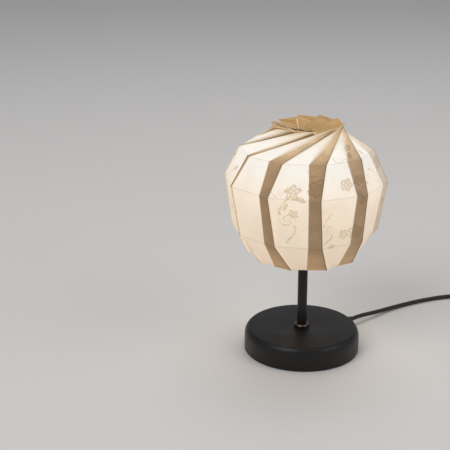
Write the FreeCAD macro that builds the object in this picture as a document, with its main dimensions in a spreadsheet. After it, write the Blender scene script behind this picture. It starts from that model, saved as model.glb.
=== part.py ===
"""Table lamp with a folded paper ball shade, on a round weighted base.

Millimetres. The origin is the centre of the base's underside, +Z is up, and the lamp's mains
lead leaves the base towards +X and +Y. Every driving size is a cell of the sheet "Dims".
"""

import FreeCAD, Part
import Sketcher
import math
import os

Vector = FreeCAD.Vector
Rotation = FreeCAD.Rotation
Placement = FreeCAD.Placement
UP = Vector(0, 0, 1)

doc = FreeCAD.newDocument("paper_shade_lamp")
sheet = doc.addObject("Spreadsheet::Sheet", "Dims")


class Size:
    """A length with the expression that binds a feature to the sheet, and its present value."""

    def __init__(self, text, value):
        self.text = text
        self.value = float(value)

    def joined(self, sign, other, result):
        return Size(f"({self.text} {sign} {other.text})", result)

    def __add__(self, other):
        other = as_size(other)
        return self.joined("+", other, self.value + other.value)

    def __sub__(self, other):
        other = as_size(other)
        return self.joined("-", other, self.value - other.value)

    def __mul__(self, other):
        other = as_size(other)
        return self.joined("*", other, self.value * other.value)

    def __truediv__(self, other):
        other = as_size(other)
        return self.joined("/", other, self.value / other.value)


def as_size(number):
    return number if isinstance(number, Size) else Size(f"{float(number):.6f}", number)


ROWS = []


def size(alias, value):
    """Writes one driving size into the sheet and returns it."""
    ROWS.append(alias)
    cell = f"A{len(ROWS)}"
    sheet.set(cell, str(value))
    sheet.setAlias(cell, alias)
    return Size(f"Dims.{alias}", value)


ZERO = Size("0", 0)

# ---------------------------------------------------------------- driving sizes: base
base_radius = size("base_radius", 60)
base_height = size("base_height", 25)
shell_wall = size("shell_wall", 1.2)
shell_gap_below = size("shell_gap_below", 0.8)
shoulder_start = size("shoulder_start", 15)
shoulder_inset = size("shoulder_inset", 3.7)
shoulder_round = size("shoulder_round", 15.4)
part_gap = size("part_gap", 0.3)
pad_thickness = size("pad_thickness", 1.5)
pad_width = size("pad_width", 7)
plate_thickness = size("plate_thickness", 1.5)
weight_rim_inside = size("weight_rim_inside", 38)
weight_side_gap = size("weight_side_gap", 4.5)
weight_web = size("weight_web", 8)
plate_screw_circle = size("plate_screw_circle", 45)
plate_screw_radius = size("plate_screw_radius", 2)
plate_screw_length = size("plate_screw_length", 12)

# ---------------------------------------------------------------- driving sizes: stem
stem_radius = size("stem_radius", 5)
stem_bore = size("stem_bore", 3.5)
stem_foot = size("stem_foot", 9.3)
stem_top = size("stem_top", 106)
stem_fit = size("stem_fit", 0.1)
washer_thickness = size("washer_thickness", 1)
washer_radius = size("washer_radius", 9)
nut_thickness = size("nut_thickness", 5)
nut_corner_radius = size("nut_corner_radius", 8.1)
collar_radius = size("collar_radius", 8)
collar_height = size("collar_height", 3.2)
collar_chamfer = size("collar_chamfer", 1)

# ---------------------------------------------------------------- driving sizes: lampholder
cap_length = size("cap_length", 12)
cap_step = size("cap_step", 1.5)
cap_neck_radius = size("cap_neck_radius", 8)
cap_floor = size("cap_floor", 3)
holder_radius = size("holder_radius", 14)
holder_wall = size("holder_wall", 1.8)
holder_length = size("holder_length", 30)
insert_length = size("insert_length", 9)
socket_length = size("socket_length", 20)
contact_gap = size("contact_gap", 0.1)
socket_radius = size("socket_radius", 7.05)
socket_wall = size("socket_wall", 0.35)
contact_radius = size("contact_radius", 3)
contact_height = size("contact_height", 1.6)
ring_radius = size("ring_radius", 18.5)
ring_height = size("ring_height", 7)
ring_clearance = size("ring_clearance", 0.06)
ring_grip_radius = size("ring_grip_radius", 1.4)
ring_grip_count = 12

# ---------------------------------------------------------------- driving sizes: bulb
bulb_thread_radius = size("bulb_thread_radius", 6.95)
bulb_cap_length = size("bulb_cap_length", 17)
bulb_tip_length = size("bulb_tip_length", 2)
bulb_tip_radius = size("bulb_tip_radius", 3.6)
bulb_collar_length = size("bulb_collar_length", 21)
bulb_collar_radius = size("bulb_collar_radius", 15)
globe_radius = size("globe_radius", 22.5)
globe_wall = size("globe_wall", 1)

# ---------------------------------------------------------------- driving sizes: harp
harp_wire = size("harp_wire", 1.25)
harp_reach = size("harp_reach", 28)
harp_bend = size("harp_bend", 14)
harp_foot_in = size("harp_foot_in", 5)
saddle_thickness = size("saddle_thickness", 1.4)
saddle_width = size("saddle_width", 9)
disc_radius = size("disc_radius", 17)
disc_thickness = size("disc_thickness", 3)

# ---------------------------------------------------------------- driving sizes: paper shade
PLEATS = 10
paper_wall = size("paper_wall", 1.2)
rim_radius = size("rim_radius", 56.1)
rim_level = size("rim_level", 107.2)
rim_turn = size("rim_turn", 20.7)
low_crease_radius = size("low_crease_radius", 74.3)
low_crease_level = size("low_crease_level", 136.6)
low_crease_turn = size("low_crease_turn", 9.9)
belly_radius = size("belly_radius", 82.4)
belly_level = size("belly_level", 187.2)
belly_turn = size("belly_turn", 6.6)
high_crease_radius = size("high_crease_radius", 67.2)
high_crease_level = size("high_crease_level", 217.9)
high_crease_turn = size("high_crease_turn", 12.8)
crown_radius = size("crown_radius", 38)
crown_level = size("crown_level", 243.8)
crown_turn = size("crown_turn", 83.8)
crown_hole_radius = size("crown_hole_radius", 14)
crown_dish_depth = size("crown_dish_depth", 8.1)
shade_rest_gap = size("shade_rest_gap", 0.3)

# ---------------------------------------------------------------- driving sizes: mains lead
cord_radius = size("cord_radius", 2.3)
cord_exit_level = size("cord_exit_level", 8)
cord_exit_turn = size("cord_exit_turn", 43)
bushing_length = size("bushing_length", 20)
bushing_wide = size("bushing_wide", 4.6)
bushing_narrow = size("bushing_narrow", 3.2)
bushing_flange = size("bushing_flange", 4.7)
bushing_neck = size("bushing_neck", 3.9)
bushing_flange_length = size("bushing_flange_length", 3.5)
clamp_length = size("clamp_length", 10)
clamp_width = size("clamp_width", 18)
clamp_start = size("clamp_start", 24)
clamp_screw_offset = size("clamp_screw_offset", 6)
clamp_screw_radius = size("clamp_screw_radius", 1.5)
clamp_screw_grip = size("clamp_screw_grip", 5)
notch_width = size("notch_width", 11)
notch_height = size("notch_height", 11)
wire_radius = size("wire_radius", 1)
wire_offset = size("wire_offset", 1.2)
wire_dip = size("wire_dip", 5.6)
wire_bend = size("wire_bend", 3.2)
coil_radius = size("coil_radius", 26)
coil_width = size("coil_width", 13.8)
coil_height = size("coil_height", 18.4)
coil_edge = size("coil_edge", 3)
coil_x = size("coil_x", 322)
coil_y = size("coil_y", 107.4)
tie_thickness = size("tie_thickness", 0.6)
tie_width = size("tie_width", 12)
switch_x = size("switch_x", 232)
lead_y = size("lead_y", 138)
lead_z = size("lead_z", 7.5)
switch_length = size("switch_length", 58)
switch_width = size("switch_width", 24)
switch_height = size("switch_height", 15)
switch_edge = size("switch_edge", 6)
rocker_length = size("rocker_length", 19)
rocker_width = size("rocker_width", 11)
rocker_pin_radius = size("rocker_pin_radius", 1)
rocker_pin_reach = size("rocker_pin_reach", 2)
rocker_tilt = size("rocker_tilt", 10)
plug_x = size("plug_x", 228)
plug_y = size("plug_y", 71)
plug_length = size("plug_length", 34)
plug_rear_width = size("plug_rear_width", 18)
plug_shoulder = size("plug_shoulder", 14)
plug_width = size("plug_width", 34)
plug_height = size("plug_height", 14)
plug_edge = size("plug_edge", 2.5)
plug_boot_length = size("plug_boot_length", 20)
plug_boot_radius = size("plug_boot_radius", 4.5)
pin_radius = size("pin_radius", 2)
pin_length = size("pin_length", 19)
pin_spacing = size("pin_spacing", 18.6)

doc.recompute()

# ---------------------------------------------------------------- derived sizes
shell_inside = base_radius - shell_wall
shell_roof = base_height - shell_wall
shell_top_radius = base_radius - shoulder_inset
plate_top = pad_thickness + plate_thickness
weight_top = shell_roof
weight_radius = shell_top_radius - shell_wall - weight_side_gap
weight_underside = weight_top - weight_web
washer_underside = weight_underside - washer_thickness
nut_underside = washer_underside - nut_thickness
stem_hole = stem_radius + stem_fit
cap_level = stem_top - cap_floor * 2
cap_top = cap_level + cap_length
cap_radius = holder_radius + cap_step
holder_top = cap_top + holder_length
saddle_top = cap_top + saddle_thickness
socket_floor = cap_top + insert_length
bulb_foot = socket_floor + contact_height
bulb_cap_foot = bulb_foot + bulb_tip_length
bulb_cap_top = bulb_cap_foot + bulb_cap_length
bulb_collar_top = bulb_cap_top + bulb_collar_length
crown_hole_level = crown_level - crown_dish_depth - paper_wall
disc_top = crown_hole_level - shade_rest_gap
disc_underside = disc_top - disc_thickness

EXIT_DIRECTION = Vector(
    math.cos(math.radians(cord_exit_turn.value)),
    math.sin(math.radians(cord_exit_turn.value)),
    0,
)

PARTS = []


def keep(thing, label):
    """Names a finished sub-part and puts it on the export list."""
    thing.Label = label
    PARTS.append(thing)
    return thing


def part_called(label):
    return next(thing for thing in PARTS if thing.Label == label)


def bind(thing, **sizes):
    """Binds properties of a feature to the sheet."""
    for name, value in sizes.items():
        thing.setExpression(name.replace("__", "."), as_size(value).text)
    return thing


def new_body(name, disjoint=False):
    body = doc.addObject("PartDesign::Body", name)
    body.AllowCompound = disjoint
    return body


def sketch_on(body, role, name):
    """A sketch on one of the body's own origin planes."""
    sketch = body.newObject("Sketcher::SketchObject", name)
    plane = next(item for item in body.Origin.OriginFeatures if item.Role == role)
    sketch.AttachmentSupport = [(plane, "")]
    sketch.MapMode = "FlatFace"
    return sketch


def pin_point(sketch, edge, end, x, y):
    """Fixes one end of an edge at a place that the sheet drives."""
    for value, kind, axis in ((x, "DistanceX", -2), (y, "DistanceY", -1)):
        if value.value == 0:
            sketch.addConstraint(Sketcher.Constraint("PointOnObject", edge, end, axis))
        else:
            made = sketch.addConstraint(
                Sketcher.Constraint(kind, -1, 1, edge, end, value.value)
            )
            sketch.setExpression(f"Constraints[{made}]", value.text)


def arc_between(start, end, radius, side):
    """The shorter arc between two points. Side is 1 where its centre is on the left of the way."""
    half = (end - start) * 0.5
    across = Vector(-half.y, half.x, 0).normalize() * side
    centre = start + half + across * math.sqrt(max(radius**2 - half.Length**2, 0))
    first = math.atan2(start.y - centre.y, start.x - centre.x)
    last = math.atan2(end.y - centre.y, end.x - centre.x)
    if side < 0:
        first, last = last, first
    return Part.ArcOfCircle(Part.Circle(centre, UP, radius), first, last)


def outline(sketch, corners):
    """Draws a closed outline. A corner is (x, y), or (x, y, radius, side) where an arc leaves it."""
    places = [Vector(corner[0].value, corner[1].value, 0) for corner in corners]
    count = len(corners)
    heads = []
    for index, corner in enumerate(corners):
        start, end = places[index], places[(index + 1) % count]
        if len(corner) == 4:
            radius, side = corner[2].value, corner[3]
            sketch.addGeometry(arc_between(start, end, radius, side), False)
            heads.append(1 if side < 0 else 2)
        else:
            sketch.addGeometry(Part.LineSegment(start, end), False)
            heads.append(2)
    tails = [3 - head for head in heads]
    for index in range(count):
        following = (index + 1) % count
        sketch.addConstraint(
            Sketcher.Constraint("Coincident", index, heads[index], following, tails[following])
        )
    for index, corner in enumerate(corners):
        pin_point(sketch, index, tails[index], corner[0], corner[1])
        if len(corner) == 4:
            made = sketch.addConstraint(
                Sketcher.Constraint("Radius", index, corner[2].value)
            )
            sketch.setExpression(f"Constraints[{made}]", corner[2].text)


def turned_body(name, corners):
    """A body of revolution about +Z, from its half section in the XZ plane."""
    body = new_body(name)
    sketch = sketch_on(body, "XZ_Plane", name + "_section")
    outline(sketch, corners)
    turned = body.newObject("PartDesign::Revolution", name + "_turned")
    turned.Profile = sketch
    turned.ReferenceAxis = (sketch, ["V_Axis"])
    turned.Angle = 360
    return body


def turned(label, corners):
    return keep(turned_body(label + "_body", corners), label)


def ring_section(inside, outside, low, high):
    return [(inside, low), (outside, low), (outside, high), (inside, high)]


def circle_in(sketch, x, y, radius):
    """Draws a circle whose centre and radius the sheet drives."""
    made = sketch.addGeometry(
        Part.Circle(Vector(x.value, y.value, 0), UP, radius.value), False
    )
    for value, kind, axis in ((x, "DistanceX", -2), (y, "DistanceY", -1)):
        if value.value == 0:
            sketch.addConstraint(Sketcher.Constraint("PointOnObject", made, 3, axis))
        else:
            held = sketch.addConstraint(
                Sketcher.Constraint(kind, -1, 1, made, 3, value.value)
            )
            sketch.setExpression(f"Constraints[{held}]", value.text)
    held = sketch.addConstraint(Sketcher.Constraint("Radius", made, radius.value))
    sketch.setExpression(f"Constraints[{held}]", radius.text)


def origin_axis(body, role):
    return next(item for item in body.Origin.OriginFeatures if item.Role == role)


def drill_round(body, name, circle, radius, count, high):
    """Cuts holes on a circle about +Z, from the XY plane up to a level."""
    sketch = sketch_on(body, "XY_Plane", name + "_circle")
    circle_in(sketch, circle, ZERO, radius)
    before = body.Tip
    hole = body.newObject("PartDesign::Pocket", name)
    hole.Profile = sketch
    hole.Reversed = True
    bind(hole, Length=high)
    pattern = body.newObject("PartDesign::PolarPattern", name + "_round")
    pattern.Originals = [hole]
    pattern.Axis = (origin_axis(body, "Z_Axis"), [""])
    pattern.Angle = 360
    pattern.Occurrences = count
    body.Tip = pattern
    doc.recompute()
    check_less(pattern.Shape.Volume, before.Shape.Volume, name)
    return pattern


def check_less(after, before, name):
    """Stops the build where a cut took nothing off."""
    if not after < before - 1e-3:
        raise ValueError(f"{name} removed nothing")


def box(name, length, width, height, x, y, z):
    """A block with its sizes and its lowest corner bound to the sheet."""
    block = doc.addObject("Part::Box", name)
    bind(block, Length=length, Width=width, Height=height)
    bind(block, Placement__Base__x=x, Placement__Base__y=y, Placement__Base__z=z)
    return block


def cylinder(name, radius, height, x, y, z):
    """An upright round bar, bound to the sheet."""
    bar = doc.addObject("Part::Cylinder", name)
    bind(bar, Radius=radius, Height=height)
    bind(bar, Placement__Base__x=x, Placement__Base__y=y, Placement__Base__z=z)
    return bar


def cone(name, low_radius, high_radius, height, x, y, z):
    taper = doc.addObject("Part::Cone", name)
    bind(taper, Radius1=low_radius, Radius2=high_radius, Height=height)
    bind(taper, Placement__Base__x=x, Placement__Base__y=y, Placement__Base__z=z)
    return taper


def cut(name, base, tool):
    made = doc.addObject("Part::Cut", name)
    made.Base = base
    made.Tool = tool
    return made


def fuse(name, *pieces):
    made = doc.addObject("Part::MultiFuse", name)
    made.Shapes = list(pieces)
    return made


def compound(name, *pieces):
    made = doc.addObject("Part::Compound", name)
    made.Links = list(pieces)
    return made


def rounded(name, block, radius, wanted):
    """Rounds those edges of a block that the test picks."""
    doc.recompute()
    made = doc.addObject("Part::Fillet", name)
    made.Base = block
    picked = [
        (index + 1, radius.value, radius.value)
        for index, edge in enumerate(block.Shape.Edges)
        if wanted(edge)
    ]
    made.Edges = picked
    return made


def upright(edge):
    """True for an edge that runs along +Z."""
    return abs(edge.tangentAt(edge.FirstParameter).z) > 0.99


def path_of(points, bend=None):
    """Straight runs joined by tangent arcs of the largest radius, or of the radius given."""
    edges = []
    radii = []
    start = points[0]
    for before, corner, after in zip(points, points[1:], points[2:]):
        into = (corner - before).normalize()
        out = (after - corner).normalize()
        half_turn = into.getAngle(out) / 2
        run = 0.45 * min((corner - before).Length, (after - corner).Length)
        if bend:
            run = bend * math.tan(half_turn)
        radii.append(run / math.tan(half_turn))
        enter = corner - into * run
        leave = corner + out * run
        towards = (out - into).normalize()
        middle = corner + towards * (
            radii[-1] / math.cos(half_turn) - radii[-1]
        )
        edges.append(Part.LineSegment(start, enter).toShape())
        edges.append(Part.Arc(enter, middle, leave).toShape())
        start = leave
    edges.append(Part.LineSegment(start, points[-1]).toShape())
    return Part.Wire(edges), radii


def tube_shape(points, radius, label, bend=None):
    """A round tube along a path. Its volume has to match its section times its length."""
    wire, radii = path_of(points, bend)
    first = (points[1] - points[0]).normalize()
    section = Part.Wire(Part.Circle(points[0], first, radius).toShape())
    shape = wire.makePipeShell([section], True, False)
    expected = math.pi * radius**2 * wire.Length
    if abs(shape.Volume - expected) > 0.01 * expected:
        raise ValueError(f"{label} has a volume of {shape.Volume}, not {expected}")
    print(label, "length", round(wire.Length, 1), "radii", [round(r) for r in radii])
    return shape


def swing(name, piece, turn):
    """The piece turned about the lamp's own +Z axis."""
    made = doc.addObject("Part::Compound", name)
    made.Links = [piece]
    bind(made, Placement__Rotation__Angle=turn)
    return made


def lay_along_x(piece, level):
    """Tips an upright piece over so that its axis runs along +X at a level."""
    piece.Placement = Placement(Vector(), Rotation(Vector(0, 1, 0), 90))
    return bind(piece, Placement__Base__z=level)


def bar_along_x(name, radius, length, x, y, z):
    bar = doc.addObject("Part::Cylinder", name)
    bar.Placement = Placement(Vector(), Rotation(Vector(0, 1, 0), 90))
    bind(bar, Radius=radius, Height=length)
    bind(bar, Placement__Base__x=x, Placement__Base__y=y, Placement__Base__z=z)
    return bar


def around(name, maker, count):
    """Equal pieces spread round the +Z axis, as one group."""
    pieces = []
    for index in range(count):
        turn = as_size(360 * index / count)
        pieces.append(swing(f"{name}_{index + 1}", maker(f"{name}_one_{index + 1}"), turn))
    return compound(name + "_set", *pieces)


# ---------------------------------------------------------------- base
weight_foot = plate_top + part_gap
plate_radius = shell_inside - part_gap
bushing_end = base_radius + bushing_length


def build_shell():
    """Spun steel cover with a rounded shoulder, a stem hole and a side hole for the lead."""
    shell = turned_body(
        "base_shell_body",
        [
            (stem_hole, shell_roof),
            (shell_top_radius - shell_wall, shell_roof, shoulder_round, -1),
            (shell_inside, shoulder_start),
            (shell_inside, shell_gap_below),
            (base_radius, shell_gap_below),
            (base_radius, shoulder_start, shoulder_round, 1),
            (shell_top_radius, base_height),
            (stem_hole, base_height),
        ],
    )
    hole = bar_along_x(
        "lead_hole_bar",
        bushing_neck + stem_fit,
        shell_wall * 4,
        shell_inside - shell_wall,
        ZERO,
        cord_exit_level,
    )
    doc.recompute()
    before = shell.Shape.Volume
    made = cut("base_shell_drilled", shell, swing("lead_hole", hole, cord_exit_turn))
    doc.recompute()
    check_less(made.Shape.Volume, before, "lead_hole")
    keep(made, "base_shell")


def plate_screw(name, extra=ZERO):
    """A countersunk screw under the plate, or with extra its clearance."""
    head = cone(
        name + "_head",
        plate_screw_radius * 1.8 + extra,
        plate_screw_radius + extra,
        plate_thickness,
        plate_screw_circle,
        ZERO,
        pad_thickness,
    )
    shank = cylinder(
        name + "_shank",
        plate_screw_radius + extra,
        plate_screw_length,
        plate_screw_circle,
        ZERO,
        pad_thickness,
    )
    return fuse(name, head, shank)


def build_weight():
    """Cast iron dish: a web under the cover's roof and a rim that takes the plate screws."""
    weight = turned_body(
        "base_weight_body",
        [
            (stem_hole, weight_underside),
            (weight_rim_inside, weight_underside),
            (weight_rim_inside, weight_foot),
            (weight_radius, weight_foot),
            (weight_radius, weight_top),
            (stem_hole, weight_top),
        ],
    )
    doc.recompute()
    drill_round(
        weight,
        "weight_tapping",
        plate_screw_circle,
        plate_screw_radius + stem_fit,
        3,
        pad_thickness + plate_screw_length + part_gap,
    )
    notch = box(
        "weight_notch_block",
        weight_radius - weight_rim_inside + part_gap * 4,
        notch_width,
        notch_height,
        weight_rim_inside - part_gap * 2,
        ZERO - notch_width / 2,
        weight_foot - part_gap,
    )
    screws = clamp_screw_bars("weight_clamp_tapping", stem_fit)
    tools = fuse("weight_tools", swing("weight_notch", notch, cord_exit_turn), screws)
    before = weight.Tip.Shape.Volume
    made = cut("base_weight_cut", weight, tools)
    doc.recompute()
    check_less(made.Shape.Volume, before, "weight_notch")
    keep(made, "base_weight")


def clamp_screw_bars(name, extra=ZERO):
    """The two upright screws that hold the lead's clamp to the weight."""
    bars = [
        cylinder(
            f"{name}_{side}",
            clamp_screw_radius + extra,
            weight_underside + clamp_screw_grip + extra - clamp_floor,
            clamp_start + clamp_length / 2,
            clamp_screw_offset * sign,
            clamp_floor,
        )
        for side, sign in (("left", 1), ("right", -1))
    ]
    return swing(name, compound(name + "_pair", *bars), cord_exit_turn)


clamp_floor = cord_exit_level - cord_radius - part_gap * 4


def build_clamp():
    """Moulded block that grips the lead's sheath under the weight, with its two screws."""
    block = box(
        "cord_clamp_block",
        clamp_length,
        clamp_width,
        weight_underside - clamp_floor,
        clamp_start,
        ZERO - clamp_width / 2,
        clamp_floor,
    )
    bore = bar_along_x(
        "cord_clamp_bore",
        cord_radius,
        clamp_length * 2,
        clamp_start - clamp_length / 2,
        ZERO,
        cord_exit_level,
    )
    clamp = cut("cord_clamp_bored", block, bore)
    turned_clamp = swing("cord_clamp_placed", clamp, cord_exit_turn)
    made = cut(
        "cord_clamp_drilled", turned_clamp, clamp_screw_bars("clamp_clearance", stem_fit)
    )
    keep(made, "cord_clamp")
    keep(clamp_screw_bars("clamp_screw_bars"), "clamp_screws")


def build_base():
    """Everything in the weighted base except the stem's own fixings."""
    build_shell()
    build_weight()
    plate = turned_body(
        "base_plate_body",
        ring_section(ZERO, plate_radius, pad_thickness, plate_top),
    )
    clearance = around("plate_hole", lambda name: plate_screw(name, stem_fit), 3)
    keep(cut("base_plate_drilled", plate, clearance), "base_plate")
    turned(
        "base_pad",
        ring_section(plate_radius - pad_width, plate_radius - part_gap, ZERO, pad_thickness),
    )
    keep(around("plate_screw", plate_screw, 3), "base_screws")
    build_clamp()
    bushing = turned_body(
        "cord_bushing_body",
        [
            (cord_radius, shell_inside - bushing_flange_length),
            (bushing_flange, shell_inside - bushing_flange_length),
            (bushing_flange, shell_inside),
            (bushing_neck, shell_inside),
            (bushing_neck, base_radius),
            (bushing_wide, base_radius),
            (bushing_narrow, bushing_end),
            (cord_radius, bushing_end),
        ],
    )
    lay_along_x(bushing, cord_exit_level)
    placed = swing("cord_bushing_placed", bushing, cord_exit_turn)
    keep(cut("cord_bushing_seated", placed, part_called("base_shell")), "cord_bushing")


# ---------------------------------------------------------------- stem
def hex_nut(label, low, height):
    """A hexagon nut on the stem's thread."""
    hexagon = doc.addObject("Part::Prism", label + "_hexagon")
    hexagon.Polygon = 6
    bind(hexagon, Circumradius=nut_corner_radius, Height=height, Placement__Base__z=low)
    bore = cylinder(label + "_bore", stem_hole, height * 3, ZERO, ZERO, low - height)
    keep(cut(label + "_drilled", hexagon, bore), label)


def build_stem():
    """Threaded lamp tube, its polished foot collar, and the nut and washer that hold it."""
    turned("stem_tube", ring_section(stem_bore, stem_radius, stem_foot, stem_top))
    collar_top = base_height + collar_height
    turned(
        "stem_collar",
        [
            (stem_hole, base_height),
            (collar_radius, base_height),
            (collar_radius, collar_top - collar_chamfer),
            (collar_radius - collar_chamfer, collar_top),
            (stem_hole, collar_top),
        ],
    )
    turned(
        "lock_washer",
        ring_section(stem_hole, washer_radius, washer_underside, weight_underside),
    )
    hex_nut("stem_nut", nut_underside, nut_thickness)


# ---------------------------------------------------------------- lampholder
def build_lampholder():
    """Small screw lampholder: cap, nut, sleeve, insulating insert, contacts and ring nut."""
    shoulder = cap_level + cap_length * 0.4
    hollow = cap_radius - holder_wall
    turned(
        "holder_cap",
        [
            (stem_hole, cap_level),
            (cap_neck_radius, cap_level),
            (cap_radius, shoulder),
            (cap_radius, cap_top),
            (hollow, cap_top),
            (hollow, shoulder + holder_wall),
            (cap_neck_radius + holder_wall, cap_level + cap_floor),
            (stem_hole, cap_level + cap_floor),
        ],
    )
    hex_nut("holder_nut", cap_level + cap_floor, stem_top - cap_level - cap_floor)
    holder_inside = holder_radius - holder_wall
    turned("holder_sleeve", ring_section(holder_inside, holder_radius, cap_top, holder_top))
    turned("holder_insert", ring_section(ZERO, holder_inside, cap_top, socket_floor))
    turned(
        "socket_shell",
        ring_section(
            socket_radius,
            socket_radius + socket_wall,
            socket_floor,
            socket_floor + socket_length,
        ),
    )
    turned(
        "centre_contact",
        ring_section(ZERO, contact_radius, socket_floor, bulb_foot - contact_gap),
    )
    ring_low = saddle_top + contact_gap
    ring = turned_body(
        "ring_nut_body",
        ring_section(
            holder_radius + ring_clearance, ring_radius, ring_low, ring_low + ring_height
        ),
    )
    doc.recompute()
    drill_round(
        ring,
        "ring_grip",
        ring_radius + ring_grip_radius / 2,
        ring_grip_radius,
        ring_grip_count,
        ring_low + ring_height * 2,
    )
    keep(ring, "ring_nut")


# ---------------------------------------------------------------- bulb
def root_of_difference(longer, shorter):
    """The other short side of a right triangle, as a size."""
    return Size(
        f"sqrt({longer.text} * {longer.text} - {shorter.text} * {shorter.text})",
        math.sqrt(longer.value**2 - shorter.value**2),
    )


def build_bulb():
    """Small frosted ball bulb with a screw cap."""
    thread_wall = as_size(0.5)
    turned(
        "bulb_cap",
        [
            (bulb_tip_radius, bulb_cap_foot),
            (bulb_thread_radius, bulb_cap_foot + thread_wall * 2),
            (bulb_thread_radius, bulb_cap_top),
            (bulb_thread_radius - thread_wall, bulb_cap_top),
            (bulb_thread_radius - thread_wall, bulb_cap_foot + thread_wall * 3),
            (bulb_tip_radius, bulb_cap_foot + thread_wall),
        ],
    )
    solder_top = bulb_foot + bulb_tip_length * 0.4
    turned("bulb_contact", ring_section(ZERO, bulb_tip_radius * 0.6, bulb_foot, solder_top))
    turned(
        "bulb_insulator",
        [
            (ZERO, solder_top),
            (bulb_tip_radius * 0.6, solder_top),
            (bulb_tip_radius, bulb_cap_foot),
            (bulb_tip_radius, bulb_cap_foot + thread_wall),
            (ZERO, bulb_cap_foot + thread_wall),
        ],
    )
    collar_wall = globe_wall * 1.5
    turned(
        "bulb_collar",
        [
            (bulb_thread_radius - thread_wall - collar_wall, bulb_cap_top),
            (bulb_thread_radius + thread_wall, bulb_cap_top),
            (bulb_collar_radius, bulb_collar_top),
            (bulb_collar_radius - collar_wall, bulb_collar_top),
            (bulb_thread_radius - thread_wall, bulb_cap_top + collar_wall * 2),
        ],
    )
    board_radius = bulb_collar_radius - collar_wall * 2
    turned(
        "bulb_board",
        ring_section(ZERO, board_radius, bulb_collar_top - collar_wall, bulb_collar_top),
    )
    centre = bulb_collar_top + root_of_difference(globe_radius, bulb_collar_radius)
    inner_radius = globe_radius - globe_wall
    neck_inside = root_of_difference(inner_radius, centre - bulb_collar_top)
    turned(
        "bulb_globe",
        [
            (bulb_collar_radius, bulb_collar_top, globe_radius, 1),
            (ZERO, centre + globe_radius),
            (ZERO, centre + inner_radius, inner_radius, -1),
            (neck_inside, bulb_collar_top),
        ],
    )


# ---------------------------------------------------------------- harp
def harp_leg(label, side):
    """One wire of the harp: up beside the bulb, then bent in under the rest disc."""
    body = new_body(label + "_body")
    path = sketch_on(body, "XZ_Plane", label + "_path")
    reach = harp_reach * side
    top = disc_underside - harp_wire
    inner = harp_foot_in * side
    bend_start = top - harp_bend
    bend_end = (harp_reach - harp_bend) * side
    corners = [(reach, saddle_top), (reach, bend_start), (bend_end, top), (inner, top)]
    places = [Vector(x.value, z.value, 0) for x, z in corners]
    centre = Vector(bend_end.value, bend_start.value, 0)
    start, end = (0, math.pi / 2) if side > 0 else (math.pi / 2, math.pi)
    path.addGeometry(Part.LineSegment(places[0], places[1]), False)
    path.addGeometry(
        Part.ArcOfCircle(Part.Circle(centre, UP, harp_bend.value), start, end), False
    )
    path.addGeometry(Part.LineSegment(places[2], places[3]), False)
    first, last = (1, 2) if side > 0 else (2, 1)
    path.addConstraint(Sketcher.Constraint("Coincident", 0, 2, 1, first))
    path.addConstraint(Sketcher.Constraint("Coincident", 1, last, 2, 1))
    pin_point(path, 0, 1, reach, saddle_top)
    pin_point(path, 0, 2, reach, bend_start)
    pin_point(path, 2, 1, bend_end, top)
    pin_point(path, 2, 2, inner, top)
    made = path.addConstraint(Sketcher.Constraint("Radius", 1, harp_bend.value))
    path.setExpression(f"Constraints[{made}]", harp_bend.text)
    section = sketch_on(body, "XY_Plane", label + "_section")
    bind(section, AttachmentOffset__Base__z=saddle_top)
    circle_in(section, reach, ZERO, harp_wire)
    doc.recompute()
    pipe = body.newObject("PartDesign::AdditivePipe", label + "_pipe")
    pipe.Profile = section
    pipe.Spine = (path, [])
    keep(body, label)


def build_harp():
    """Wire harp: a saddle clamped under the ring nut, two legs and the rest disc on top."""
    hub = cylinder("saddle_hub", ring_radius, saddle_thickness, ZERO, ZERO, cap_top)
    arm_end = harp_reach + saddle_width / 2
    arms = box(
        "saddle_arms",
        arm_end * 2,
        saddle_width,
        saddle_thickness,
        ZERO - arm_end,
        ZERO - saddle_width / 2,
        cap_top,
    )
    bore = cylinder(
        "saddle_bore",
        holder_radius + stem_fit,
        saddle_thickness * 3,
        ZERO,
        ZERO,
        cap_top - saddle_thickness,
    )
    keep(cut("harp_saddle_bored", fuse("saddle_blank", hub, arms), bore), "harp_saddle")
    harp_leg("harp_leg_left", -1)
    harp_leg("harp_leg_right", 1)
    turned("harp_disc", ring_section(ZERO, disc_radius, disc_underside, disc_top))


# ---------------------------------------------------------------- paper shade
def decagon(name, radius, level, turn):
    """One level of the folded ball: a regular polygon, one side for each pleat."""
    polygon = doc.addObject("Part::RegularPolygon", name)
    polygon.Polygon = PLEATS
    bind(
        polygon,
        Circumradius=radius,
        Placement__Base__z=level,
        Placement__Rotation__Angle=turn,
    )
    return polygon


def faceted_solid(name, less, levels):
    """The solid between crease levels, with each level drawn in by the same amount."""
    sections = [
        decagon(f"{name}_level_{index + 1}", radius - less, level, turn)
        for index, (radius, level, turn) in enumerate(levels)
    ]
    made = doc.addObject("Part::Loft", name)
    made.Sections = sections
    made.Solid = True
    made.Ruled = True
    return made


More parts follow.
